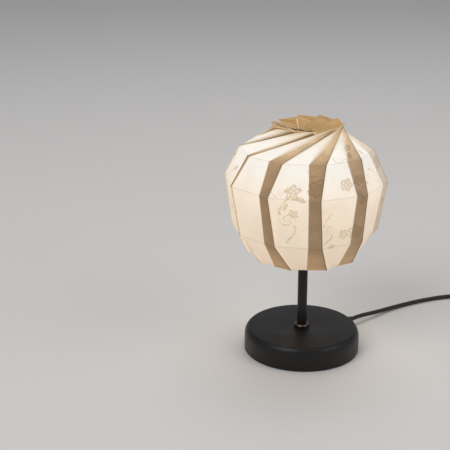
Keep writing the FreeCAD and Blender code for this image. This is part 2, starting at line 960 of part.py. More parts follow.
def build_shade():
    """One folded sheet, a node for each band between its creases, and its folded-in crown."""
    levels = [
        (rim_radius, rim_level, rim_turn),
        (low_crease_radius, low_crease_level, low_crease_turn),
        (belly_radius, belly_level, belly_turn),
        (high_crease_radius, high_crease_level, high_crease_turn),
        (crown_radius, crown_level, crown_turn),
    ]
    bands = ("shade_skirt", "shade_lower", "shade_upper", "shade_shoulder")
    for index, label in enumerate(bands):
        pair = levels[index : index + 2]
        outer = faceted_solid(label + "_outside", ZERO, pair)
        inner = faceted_solid(label + "_inside", paper_wall, pair)
        keep(cut(label + "_band", outer, inner), label)
    beyond = crown_radius * 1.5
    rise = crown_dish_depth / (crown_radius - crown_hole_radius)
    far_level = crown_hole_level + rise * (beyond - crown_hole_radius)
    dish = turned_body(
        "shade_crown_body",
        [
            (crown_hole_radius, crown_hole_level),
            (beyond, far_level),
            (beyond, far_level + paper_wall),
            (crown_hole_radius, crown_hole_level + paper_wall),
        ],
    )
    room = faceted_solid("shade_crown_room", paper_wall, levels[3:])
    crown = doc.addObject("Part::MultiCommon", "shade_crown_dish")
    crown.Shapes = [dish, room]
    keep(crown, "shade_crown")


# ---------------------------------------------------------------- mains lead
lead_out = EXIT_DIRECTION


def at_exit(along, across, level):
    """A point given along and across the lead's way out of the base."""
    sideways = Vector(-lead_out.y, lead_out.x, 0)
    return lead_out * along + sideways * across + Vector(0, 0, level)


def build_lead_inside():
    """The sheathed lead from the clamp to the bushing's end, and its two cores up the stem."""
    sheath = bar_along_x(
        "cord_inside_bar",
        cord_radius,
        bushing_end - clamp_start,
        clamp_start,
        ZERO,
        cord_exit_level,
    )
    keep(swing("cord_inside_placed", sheath, cord_exit_turn), "cord_inside")
    cores = []
    for side in (-1, 1):
        offset = wire_offset.value * side
        points = [
            at_exit(clamp_start.value, offset, cord_exit_level.value),
            at_exit(0, offset, wire_dip.value),
            at_exit(0, offset, cap_top.value),
        ]
        cores.append(tube_shape(points, wire_radius.value, "core", wire_bend.value))
    trimmed_lead("inner_wires", Part.makeCompound(cores), "cord_inside")


def trimmed_lead(label, shape, *neighbours):
    """A length of lead that ends flush against the parts it meets."""
    lead = doc.addObject("Part::Feature", label + "_whole")
    lead.Shape = shape
    for name in neighbours:
        lead = cut(f"{label}_clear_of_{name}", lead, part_called(name))
    keep(lead, label)


def build_lead():
    """The free lead: base to switch, switch to coil, the coil, and coil to plug."""
    radius = cord_radius.value
    rest = radius
    start = at_exit(bushing_end.value, 0, cord_exit_level.value)
    to_switch = [
        start,
        at_exit(bushing_end.value + 14, 0, cord_exit_level.value),
        Vector(90, 82, 4.6),
        Vector(117, 104.5, rest),
        Vector(146, 120.8, rest),
        Vector(172, 131.4, rest),
        Vector(196, 136.6, 2.6),
        Vector(217, 138, 6),
        Vector(switch_x.value, lead_y.value, lead_z.value),
    ]
    tube = tube_shape(to_switch, radius, "cord_to_switch")
    trimmed_lead("cord_to_switch", tube, "switch_base", "switch_cover")
    to_coil = [
        Vector(switch_x.value + switch_length.value, lead_y.value, lead_z.value),
        Vector(302, 138.6, 5.2),
        Vector(316, 138, 2.9),
    ]
    tube = tube_shape(to_coil, radius, "cord_to_coil")
    trimmed_lead("cord_to_coil", tube, "switch_base", "switch_cover", "cord_coil")
    to_plug = [
        Vector(343.9, 85.5, 15.5),
        Vector(334.8, 72.2, 10.5),
        Vector(320.7, 68.2, 4.4),
        Vector(301, 69.8, 3.6),
        Vector(plug_x.value + plug_length.value + plug_boot_length.value, plug_y.value, 7),
    ]
    tube = tube_shape(to_plug, radius, "cord_to_plug")
    trimmed_lead("cord_to_plug", tube, "cord_coil", "coil_tie", "plug_boot")


def build_coil():
    """The put-away length as one ring of its outer shape, and the strap that ties it."""
    low = tie_thickness
    high = tie_thickness + coil_height
    inside = coil_radius - coil_width / 2
    outside = coil_radius + coil_width / 2
    coil = turned_body(
        "cord_coil_body",
        [
            (inside + coil_edge, low),
            (outside - coil_edge, low, coil_edge, 1),
            (outside, low + coil_edge),
            (outside, high - coil_edge, coil_edge, 1),
            (outside - coil_edge, high),
            (inside + coil_edge, high, coil_edge, 1),
            (inside, high - coil_edge),
            (inside, low + coil_edge, coil_edge, 1),
        ],
    )
    bind(coil, Placement__Base__x=coil_x, Placement__Base__y=coil_y)
    keep(coil, "cord_coil")
    strap = box(
        "coil_tie_block",
        coil_width + tie_thickness * 2,
        tie_width,
        coil_height + tie_thickness * 2,
        coil_x + inside - tie_thickness,
        coil_y - tie_width / 2,
        ZERO,
    )
    keep(cut("coil_tie_band", strap, coil), "coil_tie")


def build_switch():
    """Lead switch: two moulded halves, the rocker on its pins, and two case screws."""
    half = switch_height / 2
    y = lead_y - switch_width / 2
    lower = box("switch_base_block", switch_length, switch_width, half, switch_x, y, ZERO)
    upper = box("switch_cover_block", switch_length, switch_width, half, switch_x, y, half)
    window_length = rocker_length + part_gap * 4
    window_width = rocker_width + part_gap * 2
    middle = switch_x + switch_length / 2
    window = box(
        "switch_window",
        window_length,
        window_width,
        half * 3,
        middle - window_length / 2,
        lead_y - window_width / 2,
        half,
    )
    axle_level = switch_height - rocker_pin_radius * 2.4
    axle_hole = axle_bar("switch_axle_hole", stem_fit * 0.6, middle, axle_level)
    tools = fuse("switch_cover_tools", window, axle_hole)
    drill = screw_pair("switch_screw_hole", ZERO - switch_height, stem_fit)
    lower_round = rounded("switch_base_round", lower, switch_edge, upright)
    upper_round = rounded("switch_cover_round", upper, switch_edge, upright)
    keep(cut("switch_base_drilled", lower_round, drill), "switch_base")
    cover = cut("switch_cover_cut", upper_round, tools)
    drill_up = screw_pair("switch_screw_bore", ZERO, stem_fit)
    keep(cut("switch_cover_drilled", cover, drill_up), "switch_cover")
    keep(screw_pair("switch_screw", ZERO, ZERO), "switch_screws")
    build_rocker(middle, axle_level)


def screw_pair(name, low, extra):
    """The two case screws, or with extra their clearance."""
    bars = []
    for index, way in enumerate((-1, 1)):
        bars.append(
            cylinder(
                f"{name}_{index + 1}",
                pin_radius * 0.7 + extra,
                switch_height * 0.8 - low,
                switch_x + switch_length / 2 + (switch_length / 2 - switch_edge) * way,
                lead_y + (switch_width / 2 - switch_edge) * way,
                low + pin_radius * 0.5,
            )
        )
    return compound(name + "_pair", *bars)


def axle_bar(name, extra, x, z):
    """The rocker's axle along Y, or with extra the hole that it turns in."""
    length = rocker_width + rocker_pin_reach * 2
    bar = doc.addObject("Part::Cylinder", name)
    bar.Placement = Placement(Vector(), Rotation(Vector(1, 0, 0), -90))
    bind(bar, Radius=rocker_pin_radius + extra, Height=length + as_size(extra) * 2)
    bind(
        bar,
        Placement__Base__x=x,
        Placement__Base__y=lead_y - length / 2 - as_size(extra),
        Placement__Base__z=z,
    )
    return bar


def build_rocker(middle, axle_level):
    """The rocker at rest with its far end pressed down."""
    body = new_body("switch_rocker_body")
    side = sketch_on(body, "XZ_Plane", "switch_rocker_side")
    half = rocker_length / 2
    rise = switch_height - axle_level
    outline(
        side,
        [
            (ZERO - half, rise * 0.5),
            (ZERO - half + part_gap, ZERO - rise),
            (half - part_gap, ZERO - rise),
            (half, rise * 0.5),
            (rocker_length * 0.1, rise * 0.3),
            (ZERO - rocker_length * 0.1, rise * 0.3),
        ],
    )
    pad = body.newObject("PartDesign::Pad", "switch_rocker_pad")
    pad.Profile = side
    pad.Midplane = True
    bind(pad, Length=rocker_width)
    axle = axle_bar("switch_rocker_axle", 0, ZERO, ZERO)
    bind(axle, Placement__Base__y=ZERO - (rocker_width + rocker_pin_reach * 2) / 2)
    rocker = fuse("switch_rocker_joined", body, axle)
    rocker.Placement = Placement(Vector(), Rotation(Vector(0, 1, 0), 1))
    bind(rocker, Placement__Rotation__Angle=rocker_tilt)
    bind(rocker, Placement__Base__x=middle, Placement__Base__y=lead_y)
    bind(rocker, Placement__Base__z=axle_level)
    keep(rocker, "switch_rocker")


def build_plug():
    """Two-pin plug lying on its flat side, its flexible boot and its pins."""
    body = new_body("plug_body_body")
    plan = sketch_on(body, "XY_Plane", "plug_plan")
    rear = plug_x + plug_length
    shoulder = plug_x + plug_shoulder
    outline(
        plan,
        [
            (plug_x, plug_y - plug_width / 2),
            (shoulder, plug_y - plug_width / 2),
            (rear, plug_y - plug_rear_width / 2),
            (rear, plug_y + plug_rear_width / 2),
            (shoulder, plug_y + plug_width / 2),
            (plug_x, plug_y + plug_width / 2),
        ],
    )
    pad = body.newObject("PartDesign::Pad", "plug_block")
    pad.Profile = plan
    bind(pad, Length=plug_height)
    doc.recompute()
    keep(rounded("plug_body_round", body, plug_edge, upright), "plug_body")
    middle = plug_height / 2
    boot = turned_body(
        "plug_boot_body",
        [
            (ZERO, ZERO),
            (plug_boot_radius, ZERO),
            (cord_radius + part_gap * 2, plug_boot_length),
            (ZERO, plug_boot_length),
        ],
    )
    boot.Placement = Placement(Vector(), Rotation(Vector(0, 1, 0), 90))
    bind(boot, Placement__Base__x=rear, Placement__Base__y=plug_y)
    bind(boot, Placement__Base__z=middle)
    keep(boot, "plug_boot")
    pins = []
    for index, side in enumerate((-1, 1)):
        y = plug_y + pin_spacing / 2 * side
        pins.append(
            bar_along_x(
                f"plug_pin_{index + 1}", pin_radius, pin_length, plug_x - pin_length, y, middle
            )
        )
    keep(compound("plug_pin_pair", *pins), "plug_pins")


# ---------------------------------------------------------------- build, check, write
def broken_states():
    return [
        f"{thing.Name}: {thing.State}"
        for thing in doc.Objects
        if "Invalid" in thing.State or "Error" in thing.State
    ]


def write_parts():
    """Writes each sub-part to a file of its own once everything has passed."""
    faults = broken_states()
    for thing in PARTS:
        if thing.Shape.isNull() or not thing.Shape.isValid():
            faults.append(f"{thing.Label}: shape is null or not valid")
        elif not thing.Shape.Solids:
            faults.append(f"{thing.Label}: no solid")
    if faults:
        raise ValueError("; ".join(faults))
    os.makedirs("parts", exist_ok=True)
    for thing in PARTS:
        thing.Shape.exportStep(f"parts/{thing.Label}.step")
    print(len(PARTS), "parts written")


build_base()
build_stem()
build_lampholder()
build_bulb()
build_harp()
build_shade()
build_coil()
build_switch()
build_plug()
build_lead_inside()
build_lead()
doc.recompute()
write_parts()
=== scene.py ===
"""Pleated paper table lamp: visual model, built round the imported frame. Metres throughout."""

import math
from itertools import accumulate

import bmesh
import bpy
from mathutils import Matrix, Vector


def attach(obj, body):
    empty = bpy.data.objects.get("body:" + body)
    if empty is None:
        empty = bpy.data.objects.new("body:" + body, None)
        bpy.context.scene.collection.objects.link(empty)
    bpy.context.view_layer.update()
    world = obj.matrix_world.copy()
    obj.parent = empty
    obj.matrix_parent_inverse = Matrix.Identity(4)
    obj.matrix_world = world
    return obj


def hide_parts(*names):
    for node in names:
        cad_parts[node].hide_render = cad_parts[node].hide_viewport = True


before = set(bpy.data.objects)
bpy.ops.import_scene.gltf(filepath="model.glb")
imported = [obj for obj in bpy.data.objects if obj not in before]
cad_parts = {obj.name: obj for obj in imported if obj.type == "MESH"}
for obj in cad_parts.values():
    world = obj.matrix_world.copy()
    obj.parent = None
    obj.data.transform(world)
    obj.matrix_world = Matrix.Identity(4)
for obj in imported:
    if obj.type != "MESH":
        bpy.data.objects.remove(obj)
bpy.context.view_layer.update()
scene = bpy.context.scene
MM = 0.001
UP = Vector((0, 0, 1))
CENTRE = Vector((0, 0, 0))


# ---------------------------------------------------------------- camera, floor and lights
def place_camera():
    """A small tele lens, a little above the shade and looking down at the base."""
    lens = bpy.data.cameras.new("camera")
    lens.lens = 88.2
    lens.sensor_width = 36
    camera = bpy.data.objects.new("camera", lens)
    camera.location = (-0.08067, -1.06356, 0.50045)
    camera.rotation_euler = (math.radians(90 - 18.89), 0, 0)
    scene.collection.objects.link(camera)
    scene.camera = camera


def soft_light(name, place, aim, side, power, colour=(1, 1, 1)):
    """A square softbox that points at a spot."""
    lamp = bpy.data.lights.new(name, "AREA")
    lamp.shape = "SQUARE"
    lamp.size = side
    lamp.energy = power
    lamp.color = colour
    made = bpy.data.objects.new(name, lamp)
    made.location = place
    towards = Vector(aim) - Vector(place)
    made.rotation_euler = towards.to_track_quat("-Z", "Y").to_euler()
    scene.collection.objects.link(made)
    return made


# ---------------------------------------------------------------- node helpers
def add_node(tree, kind, **settings):
    """A node with its properties set."""
    made = tree.nodes.new(kind)
    for name, value in settings.items():
        setattr(made, name, value)
    return made


def give(node, values):
    """Sets inputs by name or number: a socket is linked, anything else is a value."""
    for name, value in values.items():
        if isinstance(value, bpy.types.NodeSocket):
            node.id_data.links.new(value, node.inputs[name])
        else:
            node.inputs[name].default_value = value
    return node


def maths(tree, operation, *values, clamp=False):
    node = add_node(tree, "ShaderNodeMath", operation=operation, use_clamp=clamp)
    give(node, dict(enumerate(values)))
    return node.outputs[0]


def soft_step(tree, value, low, high, from_value=0.0, to_value=1.0):
    """Runs smoothly between two values as the input goes from low to high."""
    node = add_node(tree, "ShaderNodeMapRange", interpolation_type="SMOOTHSTEP")
    give(node, {0: value, 1: low, 2: high, 3: from_value, 4: to_value})
    return node.outputs[0]


def mixed(tree, factor, first, second, blend="MIX"):
    node = add_node(tree, "ShaderNodeMix", data_type="RGBA", blend_type=blend)
    give(node, {0: factor, 6: first, 7: second})
    return node.outputs[2]


def scaled(tree, colour, factor):
    """A colour made brighter or darker by a factor."""
    node = add_node(tree, "ShaderNodeVectorMath", operation="SCALE")
    give(node, {0: colour, "Scale": factor})
    return node.outputs[0]


def noise(tree, where, scale, detail=3.0, roughness=0.55, distortion=0.0):
    node = add_node(tree, "ShaderNodeTexNoise")
    give(
        node,
        {
            "Vector": where,
            "Scale": scale,
            "Detail": detail,
            "Roughness": roughness,
            "Distortion": distortion,
        },
    )
    return node.outputs["Fac"]


def stretched(tree, where, scale):
    node = add_node(tree, "ShaderNodeMapping")
    give(node, {"Vector": where, "Scale": scale})
    return node.outputs[0]


def new_group(name, inputs, outputs):
    """A shader node group with named float or vector inputs and float outputs."""
    tree = bpy.data.node_groups.new(name, "ShaderNodeTree")
    for label, kind in inputs:
        tree.interface.new_socket(label, in_out="INPUT", socket_type=kind)
    for label in outputs:
        tree.interface.new_socket(label, in_out="OUTPUT", socket_type="NodeSocketFloat")
    source = tree.nodes.new("NodeGroupInput").outputs
    result = tree.nodes.new("NodeGroupOutput")
    return tree, source, result


def use_group(tree, group, values):
    node = add_node(tree, "ShaderNodeGroup", node_tree=group)
    return give(node, values).outputs


FLOAT = "NodeSocketFloat"
VECTOR = "NodeSocketVector"


def make_grain():
    """Moulded or sprayed skin: a fine orange peel with slow smudges over it."""
    tree, source, result = new_group(
        "skin_grain", [("Place", VECTOR), ("Fineness", FLOAT)], ["Height", "Smudge"]
    )
    fine = noise(tree, source["Place"], source["Fineness"], 4.0, 0.6)
    coarse = noise(tree, source["Place"], maths(tree, "MULTIPLY", source["Fineness"], 0.06))
    give(result, {"Height": fine, "Smudge": coarse})
    return tree


def make_turning():
    """Fine rings from a lathe or a press tool, with broken marks along them."""
    tree, source, result = new_group(
        "turning_marks", [("Place", VECTOR), ("Fineness", FLOAT)], ["Height", "Smudge"]
    )
    rings = stretched(tree, source["Place"], (0.06, 0.06, 1.0))
    marks = noise(tree, rings, source["Fineness"], 5.0, 0.7)
    give(result, {"Height": marks, "Smudge": noise(tree, source["Place"], 90.0)})
    return tree


def make_fibre():
    """Long paper fibres lying every way, and the cloudy formation of the sheet."""
    tree, source, result = new_group("paper_fibre", [("Sheet", VECTOR)], ["Fibre", "Cloud"])
    strands = []
    for turn, scale in ((0.5, 130.0), (1.9, 110.0), (2.8, 150.0)):
        turned = add_node(tree, "ShaderNodeVectorRotate", rotation_type="Z_AXIS")
        give(turned, {"Vector": source["Sheet"], "Angle": turn})
        drawn = stretched(tree, turned.outputs[0], (0.12, 1.0, 1.0))
        value = noise(tree, drawn, scale, 2.0, 0.5, 0.6)
        strands.append(soft_step(tree, value, 0.6, 0.72))
    both = maths(tree, "ADD", strands[0], strands[1])
    fibre = maths(tree, "ADD", both, strands[2], clamp=True)
    give(result, {"Fibre": fibre, "Cloud": noise(tree, source["Sheet"], 28.0, 5.0, 0.6)})
    return tree


def make_weave():
    """Plain weave of a narrow strap."""
    tree, source, result = new_group(
        "strap_weave", [("Place", VECTOR), ("Fineness", FLOAT)], ["Height"]
    )
    split = give(add_node(tree, "ShaderNodeSeparateXYZ"), {0: source["Place"]}).outputs
    waves = []
    for axis in (1, 2):
        run = maths(tree, "MULTIPLY", split[axis], source["Fineness"])
        waves.append(maths(tree, "SINE", run))
    give(result, {"Height": maths(tree, "MULTIPLY", waves[0], waves[1])})
    return tree


def line_where(tree, value, width, softness):
    """1 where the value is near zero, falling off past the width."""
    return soft_step(tree, maths(tree, "ABSOLUTE", value), width, width + softness, 1.0, 0.0)


def make_flower():
    """An outlined open flower with a curled heart, centred on zero and one unit in radius."""
    tree, source, result = new_group("print_flower", [("Place", VECTOR)], ["Line", "Wash"])
    split = give(add_node(tree, "ShaderNodeSeparateXYZ"), {0: source["Place"]}).outputs
    reach = give(
        add_node(tree, "ShaderNodeVectorMath", operation="LENGTH"), {0: source["Place"]}
    ).outputs["Value"]
    turn = maths(tree, "ARCTAN2", split[1], split[0])
    lobes = maths(tree, "ABSOLUTE", maths(tree, "COSINE", maths(tree, "MULTIPLY", turn, 2.5)))
    edge = maths(tree, "MULTIPLY_ADD", lobes, 0.34, 0.58)
    outer = line_where(tree, maths(tree, "SUBTRACT", reach, edge), 0.08, 0.1)
    curl = maths(tree, "SINE", maths(tree, "MULTIPLY_ADD", reach, 9.0, turn))
    heart = line_where(tree, curl, 0.3, 0.4)
    inside = soft_step(tree, reach, 0.5, 0.56, 1.0, 0.0)
    heart = maths(tree, "MULTIPLY", heart, inside)
    wash = soft_step(tree, maths(tree, "SUBTRACT", reach, edge), -0.05, 0.0, 1.0, 0.0)
    give(result, {"Line": maths(tree, "MAXIMUM", outer, heart), "Wash": wash})
    return tree


def make_leaf():
    """A pointed leaf with a midrib, one unit long each way along X."""
    tree, source, result = new_group("print_leaf", [("Place", VECTOR)], ["Line", "Wash"])
    split = give(add_node(tree, "ShaderNodeSeparateXYZ"), {0: source["Place"]}).outputs
    along = maths(tree, "MULTIPLY", split[0], split[0])
    half = maths(tree, "MULTIPLY_ADD", along, -0.36, 0.36)
    across = maths(tree, "ABSOLUTE", split[1])
    inside = maths(tree, "SUBTRACT", across, half)
    within = soft_step(tree, along, 0.98, 1.05, 1.0, 0.0)
    rim = maths(tree, "MULTIPLY", line_where(tree, inside, 0.06, 0.1), within)
    rib = maths(tree, "MULTIPLY", line_where(tree, across, 0.03, 0.08), within)
    wash = maths(tree, "MULTIPLY", soft_step(tree, inside, -0.05, 0.0, 1.0, 0.0), within)
    give(result, {"Line": maths(tree, "MAXIMUM", rim, rib), "Wash": wash})
    return tree


def make_tendril():
    """A thin stem that ends in a curl, one unit in size."""
    tree, source, result = new_group("print_tendril", [("Place", VECTOR)], ["Line", "Wash"])
    split = give(add_node(tree, "ShaderNodeSeparateXYZ"), {0: source["Place"]}).outputs
    reach = give(
        add_node(tree, "ShaderNodeVectorMath", operation="LENGTH"), {0: source["Place"]}
    ).outputs["Value"]
    turn = maths(tree, "ARCTAN2", split[1], split[0])
    spiral = maths(tree, "SINE", maths(tree, "MULTIPLY_ADD", reach, 7.5, turn))
    curl = line_where(tree, spiral, 0.16, 0.3)
    curl = maths(tree, "MULTIPLY", curl, soft_step(tree, reach, 0.6, 0.7, 1.0, 0.0))
    sweep = maths(tree, "SINE", maths(tree, "MULTIPLY", split[0], 2.2))
    stem = maths(tree, "SUBTRACT", split[1], maths(tree, "MULTIPLY", sweep, 0.5))
    ends = soft_step(tree, maths(tree, "ABSOLUTE", split[0]), 1.7, 2.0, 1.0, 0.0)
    clear = soft_step(tree, reach, 0.55, 0.7)
    stem_line = maths(tree, "MULTIPLY", line_where(tree, stem, 0.05, 0.09), ends)
    line = maths(tree, "MAXIMUM", curl, maths(tree, "MULTIPLY", stem_line, clear))
    give(result, {"Line": line, "Wash": 0.0})
    return tree


GRAIN = make_grain()
TURNING = make_turning()
FIBRE = make_fibre()
WEAVE = make_weave()


# ---------------------------------------------------------------- finishes
def blank_material(name):
    made = bpy.data.materials.new(name)
    made.use_nodes = True
    shader = made.node_tree.nodes["Principled BSDF"]
    return made, made.node_tree, shader


def finish_of(
    name,
    colour,
    roughness,
    surface=None,
    fineness=900.0,
    depth=0.02,
    contrast=0.25,
    metal=0.0,
    coat=0.0,
    specular=0.5,
    alpha=1.0,
    glow=None,
):
    """A solid finish: its colour and gloss wander a little and its skin has a fine relief."""
    made, tree, shader = blank_material(name)
    place = add_node(tree, "ShaderNodeTexCoord").outputs["Object"]
    marks = use_group(tree, surface or GRAIN, {"Place": place, "Fineness": fineness})
    dark = tuple(channel * (1 - contrast) for channel in colour) + (1,)
    light = tuple(min(channel * (1 + contrast), 1) for channel in colour) + (1,)
    shade_of = mixed(tree, marks["Smudge"], dark, light)
    smudge = soft_step(tree, marks["Smudge"], 0.3, 0.7, roughness * 0.85, roughness * 1.15)
    bump = add_node(tree, "ShaderNodeBump")
    give(bump, {"Height": marks["Height"], "Strength": 0.5, "Distance": depth * MM})
    give(
        shader,
        {
            "Base Color": shade_of,
            "Roughness": smudge,
            "Metallic": metal,
            "Normal": bump.outputs[0],
            "Coat Weight": coat,
            "Specular IOR Level": specular,
            "Alpha": alpha,
        },
    )
    if glow:
        give(shader, {"Emission Color": glow[0] + (1,), "Emission Strength": glow[1]})
    return made


def make_strap_finish():
    made, tree, shader = blank_material("tie_strap_woven")
    place = add_node(tree, "ShaderNodeTexCoord").outputs["Object"]
    height = use_group(tree, WEAVE, {"Place": place, "Fineness": 5200.0})["Height"]
    colour = mixed(tree, height, (0.018, 0.018, 0.018, 1), (0.05, 0.05, 0.05, 1))
    bump = give(
        add_node(tree, "ShaderNodeBump"),
        {"Height": height, "Strength": 0.7, "Distance": 0.15 * MM},
    )
    give(shader, {"Base Color": colour, "Roughness": 0.85, "Normal": bump.outputs[0]})
    return made


FINISH = {
    "satin_black": finish_of("satin_black", (0.0075, 0.0062, 0.0056), 0.42, specular=0.35),
    "stem_black": finish_of(
        "stem_black", (0.0085, 0.0066, 0.006), 0.34, TURNING, 700.0, 0.01, specular=0.4
    ),
    "collar_gloss": finish_of(
        "collar_gloss", (0.09, 0.07, 0.06), 0.24, TURNING, 900.0, 0.01, metal=0.9, coat=0.4
    ),
    "cast_iron": finish_of("cast_iron", (0.10, 0.10, 0.105), 0.75, depth=0.3, metal=0.4),
    "zinc_plate": finish_of(
        "zinc_plate", (0.62, 0.62, 0.59), 0.36, TURNING, 1500.0, 0.01, metal=1.0
    ),
    "foot_foam": finish_of("foot_foam", (0.02, 0.02, 0.02), 0.95, fineness=2600.0, depth=0.25),
    "black_rubber": finish_of("black_rubber", (0.012, 0.012, 0.012), 0.58, depth=0.03),
    "flex_sheath": finish_of(
        "flex_sheath", (0.011, 0.010, 0.010), 0.48, fineness=1600.0, depth=0.03
    ),
    "core_brown": finish_of("core_brown", (0.16, 0.06, 0.03), 0.4),
    "white_nylon": finish_of("white_nylon", (0.7, 0.68, 0.62), 0.5),
    "phenolic_black": finish_of("phenolic_black", (0.02, 0.018, 0.017), 0.38, depth=0.02),
    "ceramic_white": finish_of("ceramic_white", (0.78, 0.74, 0.66), 0.6, depth=0.04),
    "pressed_brass": finish_of(
        "pressed_brass", (0.75, 0.52, 0.2), 0.3, TURNING, 1400.0, 0.01, metal=1.0
    ),
    "enamel_wire": finish_of("enamel_wire", (0.66, 0.62, 0.54), 0.4, coat=0.3),
    "rolled_aluminium": finish_of(
        "rolled_aluminium", (0.78, 0.77, 0.74), 0.28, TURNING, 1800.0, 0.01, metal=1.0
    ),
    "black_glass": finish_of("black_glass", (0.01, 0.008, 0.012), 0.12, coat=1.0),
    "bulb_white": finish_of(
        "bulb_white", (0.8, 0.76, 0.68), 0.4, glow=((1.0, 0.8, 0.55), 0.35)
    ),
    "bulb_opal": finish_of(
        "bulb_opal", (0.95, 0.9, 0.8), 0.25, coat=0.5, glow=((1.0, 0.86, 0.62), 2.6)
    ),
    "switch_black": finish_of("switch_black", (0.013, 0.012, 0.012), 0.33, coat=0.1),
    "rocker_black": finish_of("rocker_black", (0.02, 0.019, 0.018), 0.2, coat=0.5),
    "plug_black": finish_of("plug_black", (0.013, 0.012, 0.012), 0.45),
    "pin_nickel": finish_of(
        "pin_nickel", (0.72, 0.66, 0.52), 0.25, TURNING, 1500.0, 0.01, metal=1.0
    ),
    "tie_strap": make_strap_finish(),
    "enamel_tan": finish_of("enamel_tan", (0.26, 0.175, 0.085), 0.6, depth=0.05),
}


# ---------------------------------------------------------------- mesh helpers
def object_from(bm, name, materials, body, stands_for=(), smooth=35):
    """Turns a finished bmesh into a piece that rides on a body."""
    mesh = bpy.data.meshes.new(name)
    bm.to_mesh(mesh)
    bm.free()
    for face in mesh.polygons:
        face.use_smooth = True
    mesh.set_sharp_from_angle(angle=math.radians(smooth))
    for material in materials:
        mesh.materials.append(material)
    made = bpy.data.objects.new(name, mesh)
    scene.collection.objects.link(made)
    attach(made, body)
    if stands_for:
        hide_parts(*stands_for)
    return made


def tidy_normals(bm):
    bmesh.ops.remove_doubles(bm, verts=bm.verts[:], dist=1e-6)
    bmesh.ops.recalc_face_normals(bm, faces=bm.faces[:])


def spun(profile, steps=96, bevel=0.0, segments=2, angle=30):
    """A turned shape about +Z from (radius, height) pairs in millimetres."""
    bm = bmesh.new()
    points = [bm.verts.new((radius * MM, 0, height * MM)) for radius, height in profile]
    count = len(points)
    edges = [bm.edges.new((points[i], points[(i + 1) % count])) for i in range(count)]
    bmesh.ops.spin(
        bm,
        geom=points + edges,
        cent=CENTRE,
        axis=UP,
        angle=2 * math.pi,
        steps=steps,
        use_merge=True,
    )
    bmesh.ops.remove_doubles(bm, verts=bm.verts[:], dist=1e-6)
    flat = [face for face in bm.faces if face.calc_area() < 1e-14]
    bmesh.ops.delete(bm, geom=flat, context="FACES")
    bmesh.ops.recalc_face_normals(bm, faces=bm.faces[:])
    if bevel:
        round_edges(bm, sharp_edges(bm, angle), bevel, segments)
    return bm


def sharp_edges(bm, angle):
    """The edges where two faces meet at more than an angle, in degrees."""
    limit = math.radians(angle)
    return [e for e in bm.edges if e.is_manifold and e.calc_face_angle(0) > limit]


def round_edges(bm, edges, radius, segments=3):
    bmesh.ops.bevel(
        bm,
        geom=edges,
        offset=radius * MM,
        segments=segments,
        profile=0.5,
        affect="EDGES",
        material=-1,
        clamp_overlap=True,
    )


def block(low, high):
    """A box between two corners in millimetres."""
    bm = bmesh.new()
    bmesh.ops.create_cube(bm, size=1)
    low, high = Vector(low) * MM, Vector(high) * MM
    bmesh.ops.scale(bm, vec=high - low, verts=bm.verts[:])
    bmesh.ops.translate(bm, vec=(low + high) / 2, verts=bm.verts[:])
    return bm


def laid_along_x(bm, x, y, z):
    """Tips a turned shape over so that its axis runs along +X from a point."""
    bmesh.ops.rotate(bm, cent=CENTRE, matrix=Matrix.Rotation(math.pi / 2, 3, "Y"), verts=bm.verts[:])
    bmesh.ops.translate(bm, vec=Vector((x, y, z)) * MM, verts=bm.verts[:])
    return bm


def finish_nodes(material, *nodes):
    """Gives CAD nodes that keep their shape a finish."""
    for node in nodes:
        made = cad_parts[node]
        for slot_of in made.material_slots:
            slot_of.material = FINISH[material]
        if not made.material_slots:
            made.data.materials.append(FINISH[material])


# ---------------------------------------------------------------- mains lead
LEAD_RADIUS = 2.3
TO_SWITCH = [
    (58.51, 54.56, 8),
    (68.75, 64.11, 8),
    (90, 82, 4.6),
    (117, 104.5, 2.35),
    (146, 120.8, 2.35),
    (172, 131.4, 2.35),
    (196, 136.6, 2.6),
    (217, 138, 6),
    (232, 138, 7.5),
]
FROM_SWITCH = [(290, 138, 7.5), (302, 138.6, 5.2)]
TO_PLUG = [(334.8, 72.2, 10.5), (320.7, 68.2, 4.4), (301, 69.8, 3.6), (282, 71, 7)]
COIL_CENTRE = (322, 107.4)
COIL_POINTS = 14


def lead_along(name, points):
    """A round flex whose line is a smooth spline with the given control points."""
    curve = bpy.data.curves.new(name, "CURVE")
    curve.dimensions = "3D"
    curve.bevel_depth = LEAD_RADIUS * MM
    curve.bevel_resolution = 5
    curve.use_fill_caps = True
    spline = curve.splines.new("NURBS")
    spline.points.add(len(points) - 1)
    for control, point in zip(spline.points, points):
        control.co = [value * MM for value in point] + [1]
    spline.order_u = 3
    spline.use_endpoint_u = True
    spline.resolution_u = 5
    curve.materials.append(FINISH["flex_sheath"])
    made = bpy.data.objects.new(name, curve)
    scene.collection.objects.link(made)
    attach(made, "stand")
    return made


def coil_turns():
    """Nine neat turns, three wide and three high, and a part turn over the top."""
    columns = (30.6, 26.0, 21.4)
    spots = []
    for turn in range(9):
        column, step = divmod(turn, 3)
        layer = step if column % 2 == 0 else 2 - step
        spots.append((columns[column], 2.9 + 4.6 * layer))
    spots.append((21.4, 16.7))
    outwards = 1 / math.cos(math.pi / COIL_POINTS)
    points = []
    for turn in range(9):
        for step in range(COIL_POINTS):
            part = step / COIL_POINTS
            change = min(max((part - 0.78) / 0.22, 0), 1)
            radius = spots[turn][0] + (spots[turn + 1][0] - spots[turn][0]) * change
            level = spots[turn][1] + (spots[turn + 1][1] - spots[turn][1]) * change
            points.append(on_coil(radius * outwards, 90 - 360 * part, level))
    for step in range(6):
        part = step / 5
        level = 16.7 - 1.2 * max(part - 0.8, 0) / 0.2
        points.append(on_coil(21.4 + 9.6 * part, 90 - 135 * part, level))
    return points


